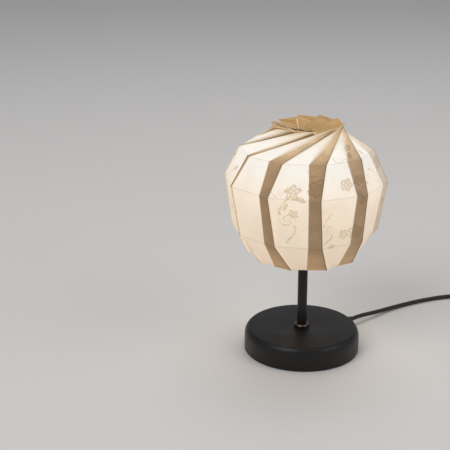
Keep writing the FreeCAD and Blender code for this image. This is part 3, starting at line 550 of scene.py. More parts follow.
def on_coil(radius, turn, level):
    angle = math.radians(turn)
    x = COIL_CENTRE[0] + radius * math.cos(angle)
    y = COIL_CENTRE[1] + radius * math.sin(angle)
    return (x, y, level)


def make_leads():
    first = lead_along("lead_to_switch", TO_SWITCH)
    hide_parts("cord_to_switch")
    second = lead_along("lead_to_plug", FROM_SWITCH + coil_turns() + TO_PLUG)
    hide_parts("cord_to_coil", "cord_coil", "cord_to_plug")
    return first, second


place_camera()
lead_one, lead_two = make_leads()


# ---------------------------------------------------------------- strap, switch and plug
def make_tie():
    """Woven strap round the coil."""
    low, high = (340.5, 101.4, 0.0), (355.5, 113.4, 19.6)
    bm = block(low, high)
    ends = [f for f in bm.faces if abs(f.normal.y) > 0.9]
    inner = bmesh.ops.inset_region(bm, faces=ends, thickness=0.6 * MM, depth=0)
    hole = [f for f in bm.faces if abs(f.normal.y) > 0.9 and f not in inner["faces"]]
    rims = [edge for face in hole for edge in face.edges]
    bmesh.ops.delete(bm, geom=hole, context="FACES_ONLY")
    bmesh.ops.bridge_loops(bm, edges=rims)
    tidy_normals(bm)
    long_edges = [e for e in bm.edges if abs((e.verts[0].co - e.verts[1].co).y) > 5 * MM]
    round_edges(bm, long_edges, 0.5, 3)
    return object_from(
        bm, "lead_tie", [FINISH["tie_strap"]], "stand", ["coil_tie"]
    )


def make_plug():
    """Moulded two-pin plug, narrowed towards the lead, its ribbed boot and its sleeved pins."""
    bm = block((228, 54, 0), (262, 88, 14))
    narrow = [v for v in bm.verts if v.co.x > 250 * MM]
    bmesh.ops.bisect_plane(
        bm, geom=bm.verts[:] + bm.edges[:] + bm.faces[:], plane_co=(0.242, 0, 0), plane_no=(1, 0, 0)
    )
    for vertex in narrow:
        vertex.co.y = 0.071 + (vertex.co.y - 0.071) * 9 / 17
    upright = [e for e in bm.edges if abs((e.verts[0].co - e.verts[1].co).z) > 10 * MM]
    round_edges(bm, upright, 2.5, 5)
    round_edges(bm, sharp_edges(bm, 40), 1.3, 4)
    body = object_from(
        bm, "plug_moulding", [FINISH["plug_black"]], "stand", ["plug_body"]
    )
    profile = [(0, 0), (4.5, 0)]
    for rib in range(6):
        start = 1.5 + rib * 3
        radius = 4.4 - 0.28 * rib
        profile += [(radius, start), (radius - 0.7, start + 0.7), (radius - 0.7, start + 2)]
        profile += [(radius - 0.25, start + 2.6)]
    profile += [(2.45, 20), (0, 20)]
    boot_bm = laid_along_x(spun(profile, 40, 0.15, 2), 262, 71, 7)
    boot = object_from(
        boot_bm, "plug_relief", [FINISH["black_rubber"]], "stand", ["plug_boot"]
    )
    pins_bm = bmesh.new()
    for side in (-1, 1):
        pin = [(0, 0), (1.3, 0), (2, 0.9), (2, 9), (1.85, 9.2), (1.85, 19), (0, 19)]
        shape = laid_along_x(spun(pin, 32), 209, 71 + 9.3 * side, 7)
        part = bpy.data.meshes.new("pin_part")
        shape.to_mesh(part)
        shape.free()
        pins_bm.from_mesh(part)
        bpy.data.meshes.remove(part)
    pins = object_from(
        pins_bm, "plug_contacts", [FINISH["pin_nickel"]], "stand", ["plug_pins"]
    )
    return body, boot, pins


def switch_half(name, low, high, node, window):
    """One moulded half of the switch's case. The upper one has the rocker's window."""
    bm = block((232, 126, low), (290, 150, high))
    if window:
        cuts = [((0.2509, 0, 0), (1, 0, 0)), ((0.2711, 0, 0), (1, 0, 0))]
        cuts += [((0, 0.1322, 0), (0, 1, 0)), ((0, 0.1438, 0), (0, 1, 0))]
        for place, normal in cuts:
            everything = bm.verts[:] + bm.edges[:] + bm.faces[:]
            bmesh.ops.bisect_plane(bm, geom=everything, plane_co=place, plane_no=normal)
        middle = Vector((0.261, 0.138, 0))
        hole = [
            f
            for f in bm.faces
            if abs(f.normal.z) > 0.9 and (f.calc_center_median() - middle).to_2d().length < 0.002
        ]
        rims = [edge for face in hole for edge in face.edges]
        bmesh.ops.delete(bm, geom=hole, context="FACES_ONLY")
        bmesh.ops.bridge_loops(bm, edges=rims)
        tidy_normals(bm)
    corners = [
        e
        for e in bm.edges
        if abs((e.verts[0].co - e.verts[1].co).z) > 5 * MM
        and min(abs(e.verts[0].co.x - x) for x in (0.232, 0.290)) < 1e-5
        and min(abs(e.verts[0].co.y - y) for y in (0.126, 0.150)) < 1e-5
    ]
    round_edges(bm, corners, 6, 8)
    outer_level = (high if window else low) * MM
    rim = [
        e
        for e in sharp_edges(bm, 50)
        if all(abs(v.co.z - outer_level) < 1e-5 for v in e.verts)
    ]
    round_edges(bm, rim, 1.2 if not window else 0.7, 3)
    return object_from(bm, name, [FINISH["switch_black"]], "stand", [node])


def make_switch():
    lower = switch_half("switch_lower", 0, 7.45, "switch_base", False)
    upper = switch_half("switch_upper", 7.5, 15, "switch_cover", True)
    finish_nodes("zinc_plate", "switch_screws")
    finish_nodes("rocker_black", "switch_rocker")
    return lower, upper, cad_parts["switch_screws"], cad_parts["switch_rocker"]


tie = make_tie()
plug_pieces = make_plug()
switch_pieces = make_switch()


# ---------------------------------------------------------------- folded paper shade
PLEATS = 10
# (radius, level, turn of the outer folds, width of the lap) from the rim up, mm and degrees
RIM = (56.1, 107.2, 20.7, 20.2)
LOW_CREASE = (74.3, 136.6, 9.9, 13.9)
BELLY = (82.4, 187.2, 6.6, 11.75)
HIGH_CREASE = (67.2, 217.9, 12.8, 16.6)
CROWN = (38.0, 243.6, 83.8, 25.5)
# uneven values of the ten pleats. In mm: rise of the crown's tips, radius that a blade reaches in
# to, and how far the layers under the rim slip up its cone. As shares: how dark a lap is, and how
# far across it the dark starts
CROWN_SAG = (-0.4, 0.6, 0.6, 0.3, 0.0, -0.3, -2.8, 1.0, 0.4, 0.2)
BLADE_REACH = (11, 14, 12, 9, 13, 11, 14, 10, 13, 12)
BLADE_SWIRL = 30  # degrees that a blade's inner end is turned past its tip
BLADE_INNER = (236.4, 235.2)  # levels of a blade's inner end, upper and lower layer
LAP_SHARE = 0.45  # most of a panel that its lap covers
RIM_SLIP = (0.5, 0.9, 2.6, 0.6, -0.5, 0.8, 0.4, -0.7, 0.6, 0.9)
DOG_EAR = (2, Vector((5.2, 0.6, 3.6)))
LAP_DEPTH = (1.0, 1.0, 0.95, 0.5, 0.8, 0.9, 1.0, 0.9, 0.8, 1.0)
LAP_START = (1.0, 1.0, 1.0, 1.0, 1.0, 1.0, 1.0, 1.0, 1.3, 1.6)
LEVELS = [RIM, LOW_CREASE, BELLY, HIGH_CREASE]
ROWS = (4, 6, 4, 9)
PIECES = (("fold", 1), ("return", 3), ("turn", 1), ("under", 3), ("panel", 6), ("lap", 4))
COLUMNS = sum(count for _, count in PIECES)
SHEET_PITCH = 74.5
SHEET_LEVELS = (0.0, 36.7, 88.1, 123.3, 193.3)
PAPER_GAP = 0.8


def at_turn(radius, turn, level):
    """A point round the lamp's axis. Turn 0 is the front and turn 90 the right."""
    angle = math.radians(turn)
    return Vector((radius * math.sin(angle), -radius * math.cos(angle), level))


def fold_anchors(level, pleat):
    """Where the folds of one pleat lie at one crease level, from its outer fold to the next."""
    radius, height, start, lap = level
    turn = start - 72 + 36 * pleat
    edge = at_turn(radius, turn, height)
    before = at_turn(radius - PAPER_GAP * 1.8, turn - 36, height)
    following = at_turn(radius, turn + 36, height)
    back = (before - edge).normalized()
    inward = Vector((back.y, -back.x, 0))
    if inward.dot(edge) > 0:
        inward = -inward
    tucked = edge + inward * PAPER_GAP
    left_upper = edge + back * lap + inward * PAPER_GAP
    left_lower = edge + back * lap + inward * PAPER_GAP * 1.9
    slip = RIM_SLIP[pleat % PLEATS] if level is RIM else 0.0
    flare = slip * (LOW_CREASE[0] - RIM[0]) / (LOW_CREASE[1] - RIM[1])
    under = at_turn(radius + flare - PAPER_GAP * 1.8, turn, height + slip)
    towards = under - following
    lap_edge = following + towards.normalized() * lap
    return [edge, tucked, left_upper, left_lower, under, lap_edge, following]


def crown_anchors(pleat):
    """The same at the crown, where the hidden layers stand up as blades that swirl inwards."""
    radius, height, start, _ = CROWN
    turn = start - 72 + 36 * pleat
    rise = CROWN_SAG[pleat % PLEATS]
    reach = BLADE_REACH[pleat % PLEATS]
    inner = turn + BLADE_SWIRL
    edge = at_turn(radius, turn, height + rise)
    tucked = at_turn(radius - 0.6, turn - 0.3, height + rise - 0.2)
    left_upper = at_turn(reach, inner - 3, BLADE_INNER[0] + rise)
    left_lower = at_turn(reach - 0.5, inner + 3, BLADE_INNER[1])
    under = at_turn(radius - 1.2, turn + 1.5, height + rise - 2.6)
    following = at_turn(radius, turn + 36, height + CROWN_SAG[(pleat + 1) % PLEATS])
    lap_edge = following + (under - following) * LAP_SHARE
    return [edge, tucked, left_upper, left_lower, under, lap_edge, following]


def spot_on_sheet(column, row):
    """The pleat, the part of it and the crease band that a spot of the sheet belongs to."""
    pleat, rest = divmod(column, COLUMNS)
    part = 0
    while rest >= PIECES[part][1]:
        rest -= PIECES[part][1]
        part += 1
    band = 0
    while band < len(ROWS) - 1 and row >= ROWS[band]:
        row -= ROWS[band]
        band += 1
    return pleat, part, rest / PIECES[part][1], band, row / ROWS[band]


def folded_place(column, row):
    """Where a spot of the flat sheet comes to lie."""
    pleat, part, across, band, up = spot_on_sheet(column, row)
    low = fold_anchors(LEVELS[band], pleat)
    if band + 1 < len(LEVELS):
        high = fold_anchors(LEVELS[band + 1], pleat)
    else:
        high = crown_anchors(pleat)
    lower = low[part].lerp(low[part + 1], across)
    upper = high[part].lerp(high[part + 1], across)
    return lower.lerp(upper, up)


def sheet_marks(level):
    """How far across the flat sheet the folds of one pleat lie, from its inner fold."""
    radius, _, _, lap = level
    visible = 2 * radius * math.sin(math.pi / PLEATS)
    seen_lap = min(lap, visible * LAP_SHARE)
    return [-lap, -lap, 0, 0, lap, lap + visible - seen_lap, lap + visible]


def sheet_place(pleat, part, across, band, up):
    """The spot's own place on the flat sheet, in metres."""
    levels = LEVELS + [CROWN]
    low, high = sheet_marks(levels[band]), sheet_marks(levels[band + 1])
    lower = low[part] + (low[part + 1] - low[part]) * across
    upper = high[part] + (high[part + 1] - high[part]) * across
    along = lower + (upper - lower) * up + pleat * SHEET_PITCH
    height = SHEET_LEVELS[band] + (SHEET_LEVELS[band + 1] - SHEET_LEVELS[band]) * up
    return along * MM, height * MM


def make_shade():
    """Pleats one flat sheet of paper into the ball, then gives it its thickness."""
    width, height = COLUMNS * PLEATS, sum(ROWS)
    bm = bmesh.new()
    sheet_uv = bm.loops.layers.uv.new("sheet")
    fold_uv = bm.loops.layers.uv.new("fold")
    depth = bm.loops.layers.float.new("lap_depth")
    start = bm.loops.layers.float.new("lap_start")
    bmesh.ops.create_grid(bm, x_segments=width, y_segments=height, size=1)
    spots = {}
    for vertex in bm.verts:
        column = round((vertex.co.x + 1) / 2 * width)
        row = round((vertex.co.y + 1) / 2 * height)
        spots[vertex] = (column, row)
    for face in bm.faces:
        left = min(spots[vertex][0] for vertex in face.verts)
        low = min(spots[vertex][1] for vertex in face.verts)
        pleat, part, across, band, up = spot_on_sheet(left, low)
        for loop in face.loops:
            right = across + (spots[loop.vert][0] - left) / PIECES[part][1]
            above = up + (spots[loop.vert][1] - low) / ROWS[band]
            loop[sheet_uv].uv = sheet_place(pleat, part, right, band, above)
            loop[fold_uv].uv = fold_place(part, right, spots[loop.vert][1])
            loop[depth] = LAP_DEPTH[pleat]
            loop[start] = LAP_START[pleat]
    corner = (DOG_EAR[0] * COLUMNS + 1, 0)
    for vertex, (column, row) in spots.items():
        place = folded_place(column, row)
        if (column, row) == corner:
            place = place + DOG_EAR[1]
        vertex.co = place * MM
    bmesh.ops.remove_doubles(bm, verts=bm.verts[:], dist=1e-6)
    made = object_from(
        bm,
        "folded_shade",
        [paper_outside(), paper_inside()],
        "shade",
        ["shade_skirt", "shade_lower", "shade_upper", "shade_shoulder", "shade_crown"],
        smooth=12,
    )
    wall = made.modifiers.new("paper_thickness", "SOLIDIFY")
    wall.thickness = 0.3 * MM
    wall.offset = -1
    wall.material_offset = 1
    wall.material_offset_rim = 0
    return made


def fold_place(part, across, row):
    """Across: 0 to 1 over a single panel, 1 to 2 over its lap, 2.2 on its fold and 3 to 4 over
    the hidden layers, from the outer fold to the inner one."""
    up = row / sum(ROWS)
    starts = {0: (2.2, 2.2), 1: (3, 4), 2: (4, 4), 3: (4, 3), 4: (0, 1), 5: (1, 2)}
    first, last = starts[part]
    return (first + (last - first) * across, up)


def paper_layers(tree):
    """Across a panel and its lap, up the ball, and how deep and where this pleat's lap looks."""
    fold = add_node(tree, "ShaderNodeUVMap", uv_map="fold").outputs[0]
    split = give(add_node(tree, "ShaderNodeSeparateXYZ"), {0: fold}).outputs
    depth = add_node(tree, "ShaderNodeAttribute", attribute_name="lap_depth").outputs["Fac"]
    start = add_node(tree, "ShaderNodeAttribute", attribute_name="lap_start").outputs["Fac"]
    return split[0], split[1], depth, start


PRINT_REPEAT = 5
SPRIGS = (
    # kind, pleat, place across and up the flat sheet in mm, size in mm, turn in degrees
    ("flower", 1, 32.9, 95, 8.0, 20),
    ("flower", 1, 55.0, 101, 9.5, 75),
    ("flower", 1, 34.5, 73, 5.0, 40),
    ("tendril", 1, 22.0, 94, 6.0, 175),
    ("tendril", 1, 28.0, 66, 13.0, 95),
    ("tendril", 1, 54.0, 117, 7.0, 10),
    ("leaf", 1, 43.0, 88, 5.0, 150),
    ("leaf", 1, 27.5, 80, 4.0, 60),
    ("flower", 2, 39.5, 101, 7.0, 0),
    ("flower", 2, 53.0, 104, 6.0, 50),
    ("leaf", 2, 57.0, 83, 5.0, 80),
    ("leaf", 2, 54.0, 90, 4.5, 130),
    ("flower", 2, 50.7, 50, 8.5, 15),
    ("flower", 2, 37.5, 49, 5.5, 60),
    ("leaf", 2, 24.0, 37, 4.0, 5),
    ("tendril", 2, 20.0, 56, 9.0, 88),
    ("tendril", 2, 33.0, 127, 7.0, 150),
    ("flower", 2, 44.0, 146, 5.5, 30),
    ("leaf", 2, 45.0, 133, 5.0, 100),
    ("leaf", 3, 28.0, 132, 5.0, 120),
    ("tendril", 3, 24.0, 104, 8.0, 10),
    ("flower", 3, 54.0, 112, 6.0, 10),
    ("leaf", 3, 55.0, 70, 5.0, 70),
    ("flower", 4, 34.0, 60, 7.5, 35),
    ("tendril", 4, 30.0, 84, 11.0, 80),
    ("leaf", 4, 40.0, 104, 6.0, 30),
)


# how far the drawn lines stray along and up the sheet, metres
HAND_WANDER = 0.0035
HAND_SWAY = 0.005


def make_print():
    """The whole repeat of the floral print, five pleats wide."""
    kinds = {"flower": make_flower(), "leaf": make_leaf(), "tendril": make_tendril()}
    tree, source, result = new_group("floral_print", [("Sheet", VECTOR)], ["Line", "Wash"])
    split = give(add_node(tree, "ShaderNodeSeparateXYZ"), {0: source["Sheet"]}).outputs
    repeat = PRINT_REPEAT * SHEET_PITCH * MM
    wrapped = maths(tree, "FLOORED_MODULO", split[0], repeat)
    joined = add_node(tree, "ShaderNodeCombineXYZ")
    give(joined, {0: wrapped, 1: split[1]})
    wander = maths(tree, "SUBTRACT", noise(tree, source["Sheet"], 160.0, 2.0), 0.5)
    wander = maths(tree, "MULTIPLY", wander, HAND_WANDER)
    sway = maths(tree, "SUBTRACT", noise(tree, source["Sheet"], 60.0, 1.0), 0.5)
    sway = maths(tree, "MULTIPLY", sway, HAND_SWAY)
    shift = give(add_node(tree, "ShaderNodeCombineXYZ"), {0: wander, 1: sway})
    drawn_at = add_node(tree, "ShaderNodeVectorMath", operation="ADD")
    give(drawn_at, {0: joined.outputs[0], 1: shift.outputs[0]})
    line, wash = None, None
    for kind, pleat, across, up, size, turn in SPRIGS:
        place = add_node(tree, "ShaderNodeMapping", vector_type="TEXTURE")
        give(
            place,
            {
                "Vector": drawn_at.outputs[0],
                "Location": ((pleat * SHEET_PITCH + across) * MM, up * MM, 0),
                "Rotation": (0, 0, math.radians(turn)),
                "Scale": (size * MM, size * MM, 1),
            },
        )
        drawn = use_group(tree, kinds[kind], {"Place": place.outputs[0]})
        line = drawn["Line"] if line is None else maths(tree, "MAXIMUM", line, drawn["Line"])
        wash = drawn["Wash"] if wash is None else maths(tree, "MAXIMUM", wash, drawn["Wash"])
    dabs = soft_step(tree, noise(tree, source["Sheet"], 330.0, 3.0), 0.35, 0.62, 0.35, 1.0)
    line = maths(tree, "MULTIPLY", line, dabs)
    wash = maths(tree, "MULTIPLY", wash, maths(tree, "SUBTRACT", 1.25, dabs))
    give(result, {"Line": line, "Wash": wash})
    return tree


def ramp(tree, value, stops):
    """A colour that follows a value through (place, colour) stops."""
    node = add_node(tree, "ShaderNodeValToRGB")
    give(node, {0: value})
    scale = node.color_ramp
    while len(scale.elements) < len(stops):
        scale.elements.new(0.5)
    for element, (place, colour) in zip(scale.elements, stops):
        element.position = place
        element.color = colour + (1,)
    return node.outputs[0]


def paper_outside():
    """Warm white paper lit from inside: bright where it is single, tan where it is lapped. The laps'
    tan and the blades' darkening are painted shade in the base colour as well, and the folds' ridges
    and the sheet's top edge carry painted highlights in the glow.
    """
    made, tree, shader = blank_material("washi_lit")
    across, up, depth, start = paper_layers(tree)
    place = add_node(tree, "ShaderNodeUVMap", uv_map="sheet").outputs[0]
    fibre = use_group(tree, FIBRE, {"Sheet": place})
    printed = use_group(tree, make_print(), {"Sheet": place})
    soft = soft_step(tree, up, 0.6, 0.8, 0.03, 0.5)
    lap = soft_step(
        tree, across, maths(tree, "SUBTRACT", start, soft), maths(tree, "ADD", start, soft)
    )
    hidden = soft_step(tree, across, 2.4, 2.6)
    # painted highlight: the outer fold's ridge glows bright cream
    ridge_highlight = soft_step(tree, across, 2.05, 2.1)
    ridge_highlight = maths(tree, "SUBTRACT", ridge_highlight, hidden)
    lap = maths(tree, "MULTIPLY", lap, maths(tree, "MAXIMUM", depth, hidden))
    blotch = soft_step(tree, noise(tree, place, 75.0, 4.0, 0.65), 0.35, 0.65, 0.84, 1.12)
    # painted shade: the lap's glow darkens towards its outer fold
    lap_shade_near_fold = soft_step(tree, across, 1.5, 2.0, 1.0, 0.78)
    lap_glow = scaled(tree, ramp(tree, up, LAP_GLOW), maths(tree, "MULTIPLY", blotch, lap_shade_near_fold))
    glow = mixed(tree, lap, ramp(tree, up, PANEL_GLOW), lap_glow)
    # painted shade: the hidden layers darken deeper in towards their inner fold, in glow and base
    # colour
    shade_deeper_in = soft_step(tree, across, 3.0, 3.9, 1.2, 0.55)
    glow = mixed(tree, hidden, glow, scaled(tree, ramp(tree, up, BLADE_GLOW), shade_deeper_in))
    glow = mixed(tree, ridge_highlight, glow, (0.60, 0.51, 0.39, 1))
    tan = maths(tree, "MULTIPLY", printed["Wash"], 0.42)
    tan = maths(tree, "MULTIPLY_ADD", printed["Line"], 0.62, tan)
    tan = maths(tree, "MINIMUM", tan, 0.85)
    print_glow = mixed(tree, lap, (0.38, 0.25, 0.115, 1), (0.05, 0.026, 0.008, 1))
    glow = mixed(tree, tan, glow, print_glow)
    before_fold = soft_step(tree, across, 1.9, 1.96, 0.0, 0.7)
    past_fold = soft_step(tree, across, 2.01, 2.02, 1.0, 0.0)
    shadow_line = maths(tree, "MULTIPLY", before_fold, past_fold)
    creases = None
    for level in accumulate(ROWS[:-1]):
        crease = line_where(tree, maths(tree, "SUBTRACT", up, level / sum(ROWS)), 0.001, 0.003)
        creases = crease if creases is None else maths(tree, "MAXIMUM", creases, crease)
    shadow = maths(tree, "MAXIMUM", shadow_line, maths(tree, "MULTIPLY", creases, 0.2))
    glow = mixed(tree, shadow, glow, (0.10, 0.07, 0.04, 1))
    # painted highlight: a bright cream line along the sheet's top free edge
    cut_edge_highlight = soft_step(tree, up, 0.982, 0.992)
    glow = mixed(tree, cut_edge_highlight, glow, (0.55, 0.43, 0.27, 1))
    cloud = soft_step(tree, fibre["Cloud"], 0.3, 0.7, 0.93, 1.04)
    fibres = maths(tree, "MULTIPLY_ADD", fibre["Fibre"], -0.05, 1.0)
    strength = maths(tree, "MULTIPLY", cloud, fibres)
    # painted shade: the laps' tan base colour copies how three layers look darker against the light
    # inside
    body = mixed(tree, lap, (0.40, 0.37, 0.33, 1), (0.27, 0.195, 0.125, 1))
    body = mixed(tree, hidden, body, scaled(tree, ramp(tree, up, BLADE_BODY_WITH_SHADE), shade_deeper_in))
    body = mixed(tree, tan, body, (0.24, 0.17, 0.09, 1))
    body = mixed(tree, shadow, body, (0.12, 0.08, 0.05, 1))
    relief = maths(tree, "MULTIPLY_ADD", fibre["Fibre"], 0.5, fibre["Cloud"])
    bump = give(
        add_node(tree, "ShaderNodeBump"),
        {"Height": relief, "Strength": 0.4, "Distance": 0.12 * MM},
    )
    give(
        shader,
        {
            "Base Color": body,
            "Roughness": 0.85,
            "Specular IOR Level": 0.2,
            "Emission Color": glow,
            "Emission Strength": strength,
            "Normal": bump.outputs[0],
        },
    )
    return made


PANEL_GLOW = (
    (0.0, (0.53, 0.40, 0.28)),
    (0.17, (0.54, 0.43, 0.31)),
    (0.40, (0.66, 0.54, 0.41)),
    (0.56, (0.68, 0.64, 0.58)),
    (0.72, (0.67, 0.64, 0.59)),
    (0.88, (0.64, 0.56, 0.45)),
    (1.0, (0.46, 0.35, 0.22)),
)
LAP_GLOW = (
    (0.0, (0.30, 0.18, 0.085)),
    (0.17, (0.145, 0.085, 0.042)),
    (0.42, (0.125, 0.072, 0.032)),
    (0.60, (0.24, 0.145, 0.068)),
    (0.68, (0.40, 0.275, 0.145)),
    (0.85, (0.50, 0.375, 0.23)),
    (1.0, (0.24, 0.145, 0.06)),
)
BLADE_GLOW = (
    (0.0, (0.52, 0.41, 0.28)),
    (0.6, (0.40, 0.33, 0.24)),
    (0.76, (0.20, 0.165, 0.12)),
    (0.92, (0.17, 0.12, 0.07)),
    (1.0, (0.13, 0.072, 0.022)),
)
# base colour of the folded-in blades, with painted shade that darkens it towards the crown
BLADE_BODY_WITH_SHADE = (
    (0.0, (0.40, 0.34, 0.27)),
    (0.9, (0.33, 0.27, 0.19)),
    (1.0, (0.32, 0.19, 0.08)),
)
# base colour of the paper's inside, with painted shade that darkens it towards the crown
INSIDE_BODY_WITH_SHADE = (
    (0.0, (0.5, 0.42, 0.31)),
    (0.8, (0.45, 0.36, 0.24)),
    (0.95, (0.30, 0.18, 0.075)),
)


def paper_inside():
    """The same paper seen from the bulb's side."""
    made, tree, shader = blank_material("washi_inside")
    place = add_node(tree, "ShaderNodeUVMap", uv_map="sheet").outputs[0]
    fibre = use_group(tree, FIBRE, {"Sheet": place})
    across, up, _, _ = paper_layers(tree)
    glow = ramp(tree, up, INSIDE_GLOW)
    # painted shade: the hidden layers darken deeper in towards their inner fold
    shade_deeper_in = soft_step(tree, across, 3.0, 3.9, 1.25, 0.6)
    inside_body_with_shade = scaled(tree, ramp(tree, up, INSIDE_BODY_WITH_SHADE), shade_deeper_in)
    blotch = soft_step(tree, noise(tree, place, 75.0, 4.0, 0.65), 0.35, 0.65)
    strength = soft_step(tree, fibre["Cloud"], 0.3, 0.7, 0.92, 1.05)
    bump = give(
        add_node(tree, "ShaderNodeBump"),
        {"Height": fibre["Cloud"], "Strength": 0.4, "Distance": 0.12 * MM},
    )
    give(
        shader,
        {
            "Base Color": mixed(tree, blotch, inside_body_with_shade, (0.25, 0.155, 0.07, 1)),
            "Roughness": 0.85,
            "Specular IOR Level": 0.2,
            "Emission Color": glow,
            "Emission Strength": strength,
            "Normal": bump.outputs[0],
        },
    )
    return made


INSIDE_GLOW = (
    (0.0, (0.50, 0.37, 0.23)),
    (0.3, (0.74, 0.58, 0.39)),
    (0.65, (0.86, 0.72, 0.52)),
    (0.85, (0.30, 0.20, 0.095)),
    (1.0, (0.27, 0.175, 0.078)),
)

make_shade()


# ---------------------------------------------------------------- base and stem
# the cover's shoulder follows this share of a quarter ellipse, whose inset is then the second
SHOULDER_SWEEP = 0.94
SHOULDER_INSET = 0.659


def make_base():
    """Spun cover with a crisp top edge; the rest of the base keeps its CAD shape."""
    shoulder = []
    for step in range(13):
        up = step / 12
        inset = 1 - math.sqrt(1 - (up * SHOULDER_SWEEP) ** 2)
        shoulder.append((60 - 3.7 * inset / SHOULDER_INSET, 15 + 9.4 * up))
    profile = [(58.8, 0.8), (60, 0.8)]
    profile += shoulder
    profile += [(55.6, 25), (5.1, 25), (5.1, 23.8), (55.1, 23.8), (58.8, 15)]
    bm = spun(profile, 160, 0.22, 2, 25)
    object_from(bm, "base_cover", [FINISH["satin_black"]], "stand", ["base_shell"])
    finish_nodes("cast_iron", "base_weight")
    finish_nodes("zinc_plate", "base_plate", "base_screws", "clamp_screws", "lock_washer")
    finish_nodes("zinc_plate", "stem_nut", "holder_nut")
    finish_nodes("foot_foam", "base_pad")
    finish_nodes("white_nylon", "cord_clamp")
    finish_nodes("flex_sheath", "cord_inside")
    finish_nodes("core_brown", "inner_wires")


def thread(radius, low, high, pitch=1.0, depth=0.35):
    """The outline of a rolled thread as (radius, height) pairs."""
    points = []
    level = low
    while level + pitch <= high:
        points += [(radius - depth, level), (radius, level + pitch * 0.5)]
        level += pitch
    return points + [(radius - depth, level)]


def make_stem():
    outline = [(3.5, 9.3)] + thread(5.0, 9.4, 20.0) + [(5, 22), (5, 98)]
    outline += thread(5.0, 98.5, 105.8) + [(3.5, 106)]
    object_from(
        spun(outline, 64), "stem_pipe", [FINISH["stem_black"]], "stand", ["stem_tube"]
    )
    ring = [(5.1, 25), (8, 25), (8, 27.1), (7.0, 28.2), (5.1, 28.2)]
    object_from(
        spun(ring, 96, 0.18, 3),
        "foot_collar",
        [FINISH["collar_gloss"]],
        "stand",
        ["stem_collar"],
    )


def make_bushing():
    """Tapered rubber sleeve with relief grooves, on the lead's way out of the base."""
    profile = [(2.35, 55.3), (4.7, 55.3), (4.7, 58.5), (3.9, 58.6), (3.9, 60.2), (4.6, 60.4)]
    for groove in range(5):
        start = 62.2 + groove * 3.4
        radius = 4.6 - 1.4 * (start - 60) / 20
        profile += [(radius, start), (radius - 0.6, start + 0.5), (radius - 0.6, start + 1.3)]
        profile += [(radius - 0.12, start + 1.8)]
    profile += [(3.2, 80), (2.35, 80)]
    bm = laid_along_x(spun(profile, 48, 0.12, 2), 0, 0, 8)
    turned = Matrix.Rotation(math.radians(43), 3, "Z")
    bmesh.ops.rotate(bm, cent=CENTRE, matrix=turned, verts=bm.verts[:])
    object_from(
        bm, "lead_sleeve", [FINISH["black_rubber"]], "stand", ["cord_bushing"]
    )


# ---------------------------------------------------------------- lampholder, harp and bulb
def make_holder():
    cap = [(5.1, 100), (8, 100), (15.5, 104.8), (15.5, 112), (13.7, 112), (13.7, 106.6)]
    cap += [(9.8, 103), (5.1, 103)]
    object_from(
        spun(cap, 96, 0.5, 3),
        "holder_lower",
        [FINISH["phenolic_black"]],
        "stand",
        ["holder_cap"],
    )
    sleeve = [(12.2, 112), (13.94, 112)] + thread(13.94, 121, 140, 2.0, 0.45)
    sleeve += [(13.5, 142), (12.2, 142)]
    object_from(
        spun(sleeve, 96),
        "holder_upper",
        [FINISH["phenolic_black"]],
        "stand",
        ["holder_sleeve"],
    )
    finish_nodes("phenolic_black", "ring_nut")
    finish_nodes("ceramic_white", "holder_insert")
    finish_nodes("pressed_brass", "socket_shell", "centre_contact")
    finish_nodes("enamel_wire", "harp_saddle", "harp_leg_left", "harp_leg_right")
    disc = [(0, 231.2), (16.4, 231.2), (17, 231.8), (17, 233.6), (16.4, 234.2), (14, 234.2)]
    disc += [(13.2, 233.2), (0, 233.2)]
    object_from(
        spun(disc, 72, 0.15, 2),
        "harp_rest",
        [FINISH["enamel_tan"]],
        "stand",
        ["harp_disc"],
    )


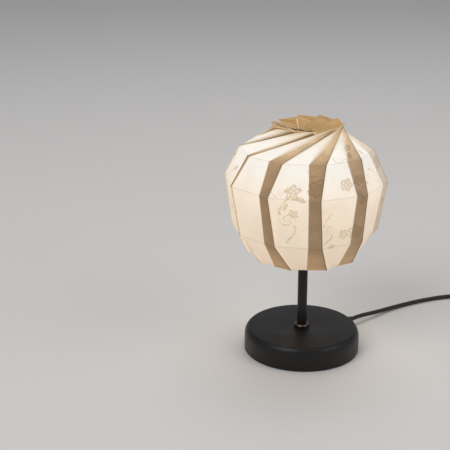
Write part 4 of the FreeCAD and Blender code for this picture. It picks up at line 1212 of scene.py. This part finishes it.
def make_bulb():
    cap = [(3.6, 124.6), (6.2, 125.6)] + thread(6.95, 127.0, 140.5, 2.8, 0.7)
    cap += [(6.95, 141.6), (6.0, 141.6), (5.6, 126.2), (3.4, 125.2)]
    object_from(
        spun(cap, 64, 0.1, 2),
        "bulb_thread",
        [FINISH["rolled_aluminium"]],
        "bulb",
        ["bulb_cap"],
    )
    collar = [(5.6, 141.6), (7.45, 141.6), (8.2, 144), (11, 151), (13.6, 158), (15, 162.6)]
    collar += [(13.5, 162.6), (12.2, 158.4), (9.6, 151.5), (6.8, 144)]
    object_from(
        spun(collar, 96, 0.2, 2),
        "bulb_skirt",
        [FINISH["bulb_white"]],
        "bulb",
        ["bulb_collar"],
    )
    globe = globe_arc(22.5, 162.6, 15.0) + list(reversed(globe_arc(21.5, 162.6, 13.5)))
    object_from(
        spun(globe, 96), "bulb_ball", [FINISH["bulb_opal"]], "bulb", ["bulb_globe"]
    )
    finish_nodes("pressed_brass", "bulb_contact")
    finish_nodes("black_glass", "bulb_insulator")
    finish_nodes("bulb_white", "bulb_board")


def globe_arc(radius, foot, neck):
    """The ball's outline from its neck up to its pole."""
    centre = 162.6 + math.sqrt(22.5**2 - 15**2)
    start = math.asin(-(centre - foot) / radius)
    points = []
    for step in range(25):
        angle = start + (math.pi / 2 - start) * step / 24
        reach = radius * math.cos(angle) if step < 24 else 0.0
        points.append((neck if step == 0 else reach, centre + radius * math.sin(angle)))
    return points


make_base()
make_stem()
make_bushing()
make_holder()
make_bulb()


# ---------------------------------------------------------------- stage
def make_floor():
    bm = bmesh.new()
    bmesh.ops.create_grid(bm, x_segments=1, y_segments=1, size=8)
    mesh = bpy.data.meshes.new("floor")
    bm.to_mesh(mesh)
    bm.free()
    made = bpy.data.objects.new("floor", mesh)
    finish, tree, shader = blank_material("pale_floor")
    give(shader, {"Base Color": (0.78, 0.76, 0.73, 1), "Roughness": 0.7})
    give(shader, {"Specular IOR Level": 0.2})
    mesh.materials.append(finish)
    scene.collection.objects.link(made)


def light_room():
    world = bpy.data.worlds.new("studio")
    world.use_nodes = True
    back = world.node_tree.nodes["Background"]
    give(back, {"Color": (0.92, 0.94, 1.0, 1), "Strength": 0.32})
    scene.world = world
    soft_light("key_box", (-1.3, -1.5, 1.9), (0, 0, 0.1), 1.4, 22)
    soft_light("fill_box", (1.7, -0.9, 1.3), (0, 0, 0.1), 1.6, 9)
    soft_light("top_box", (0.2, 0.9, 2.2), (0, 0, 0.1), 1.4, 12)
    scene.view_settings.view_transform = "Standard"


make_floor()
light_room()
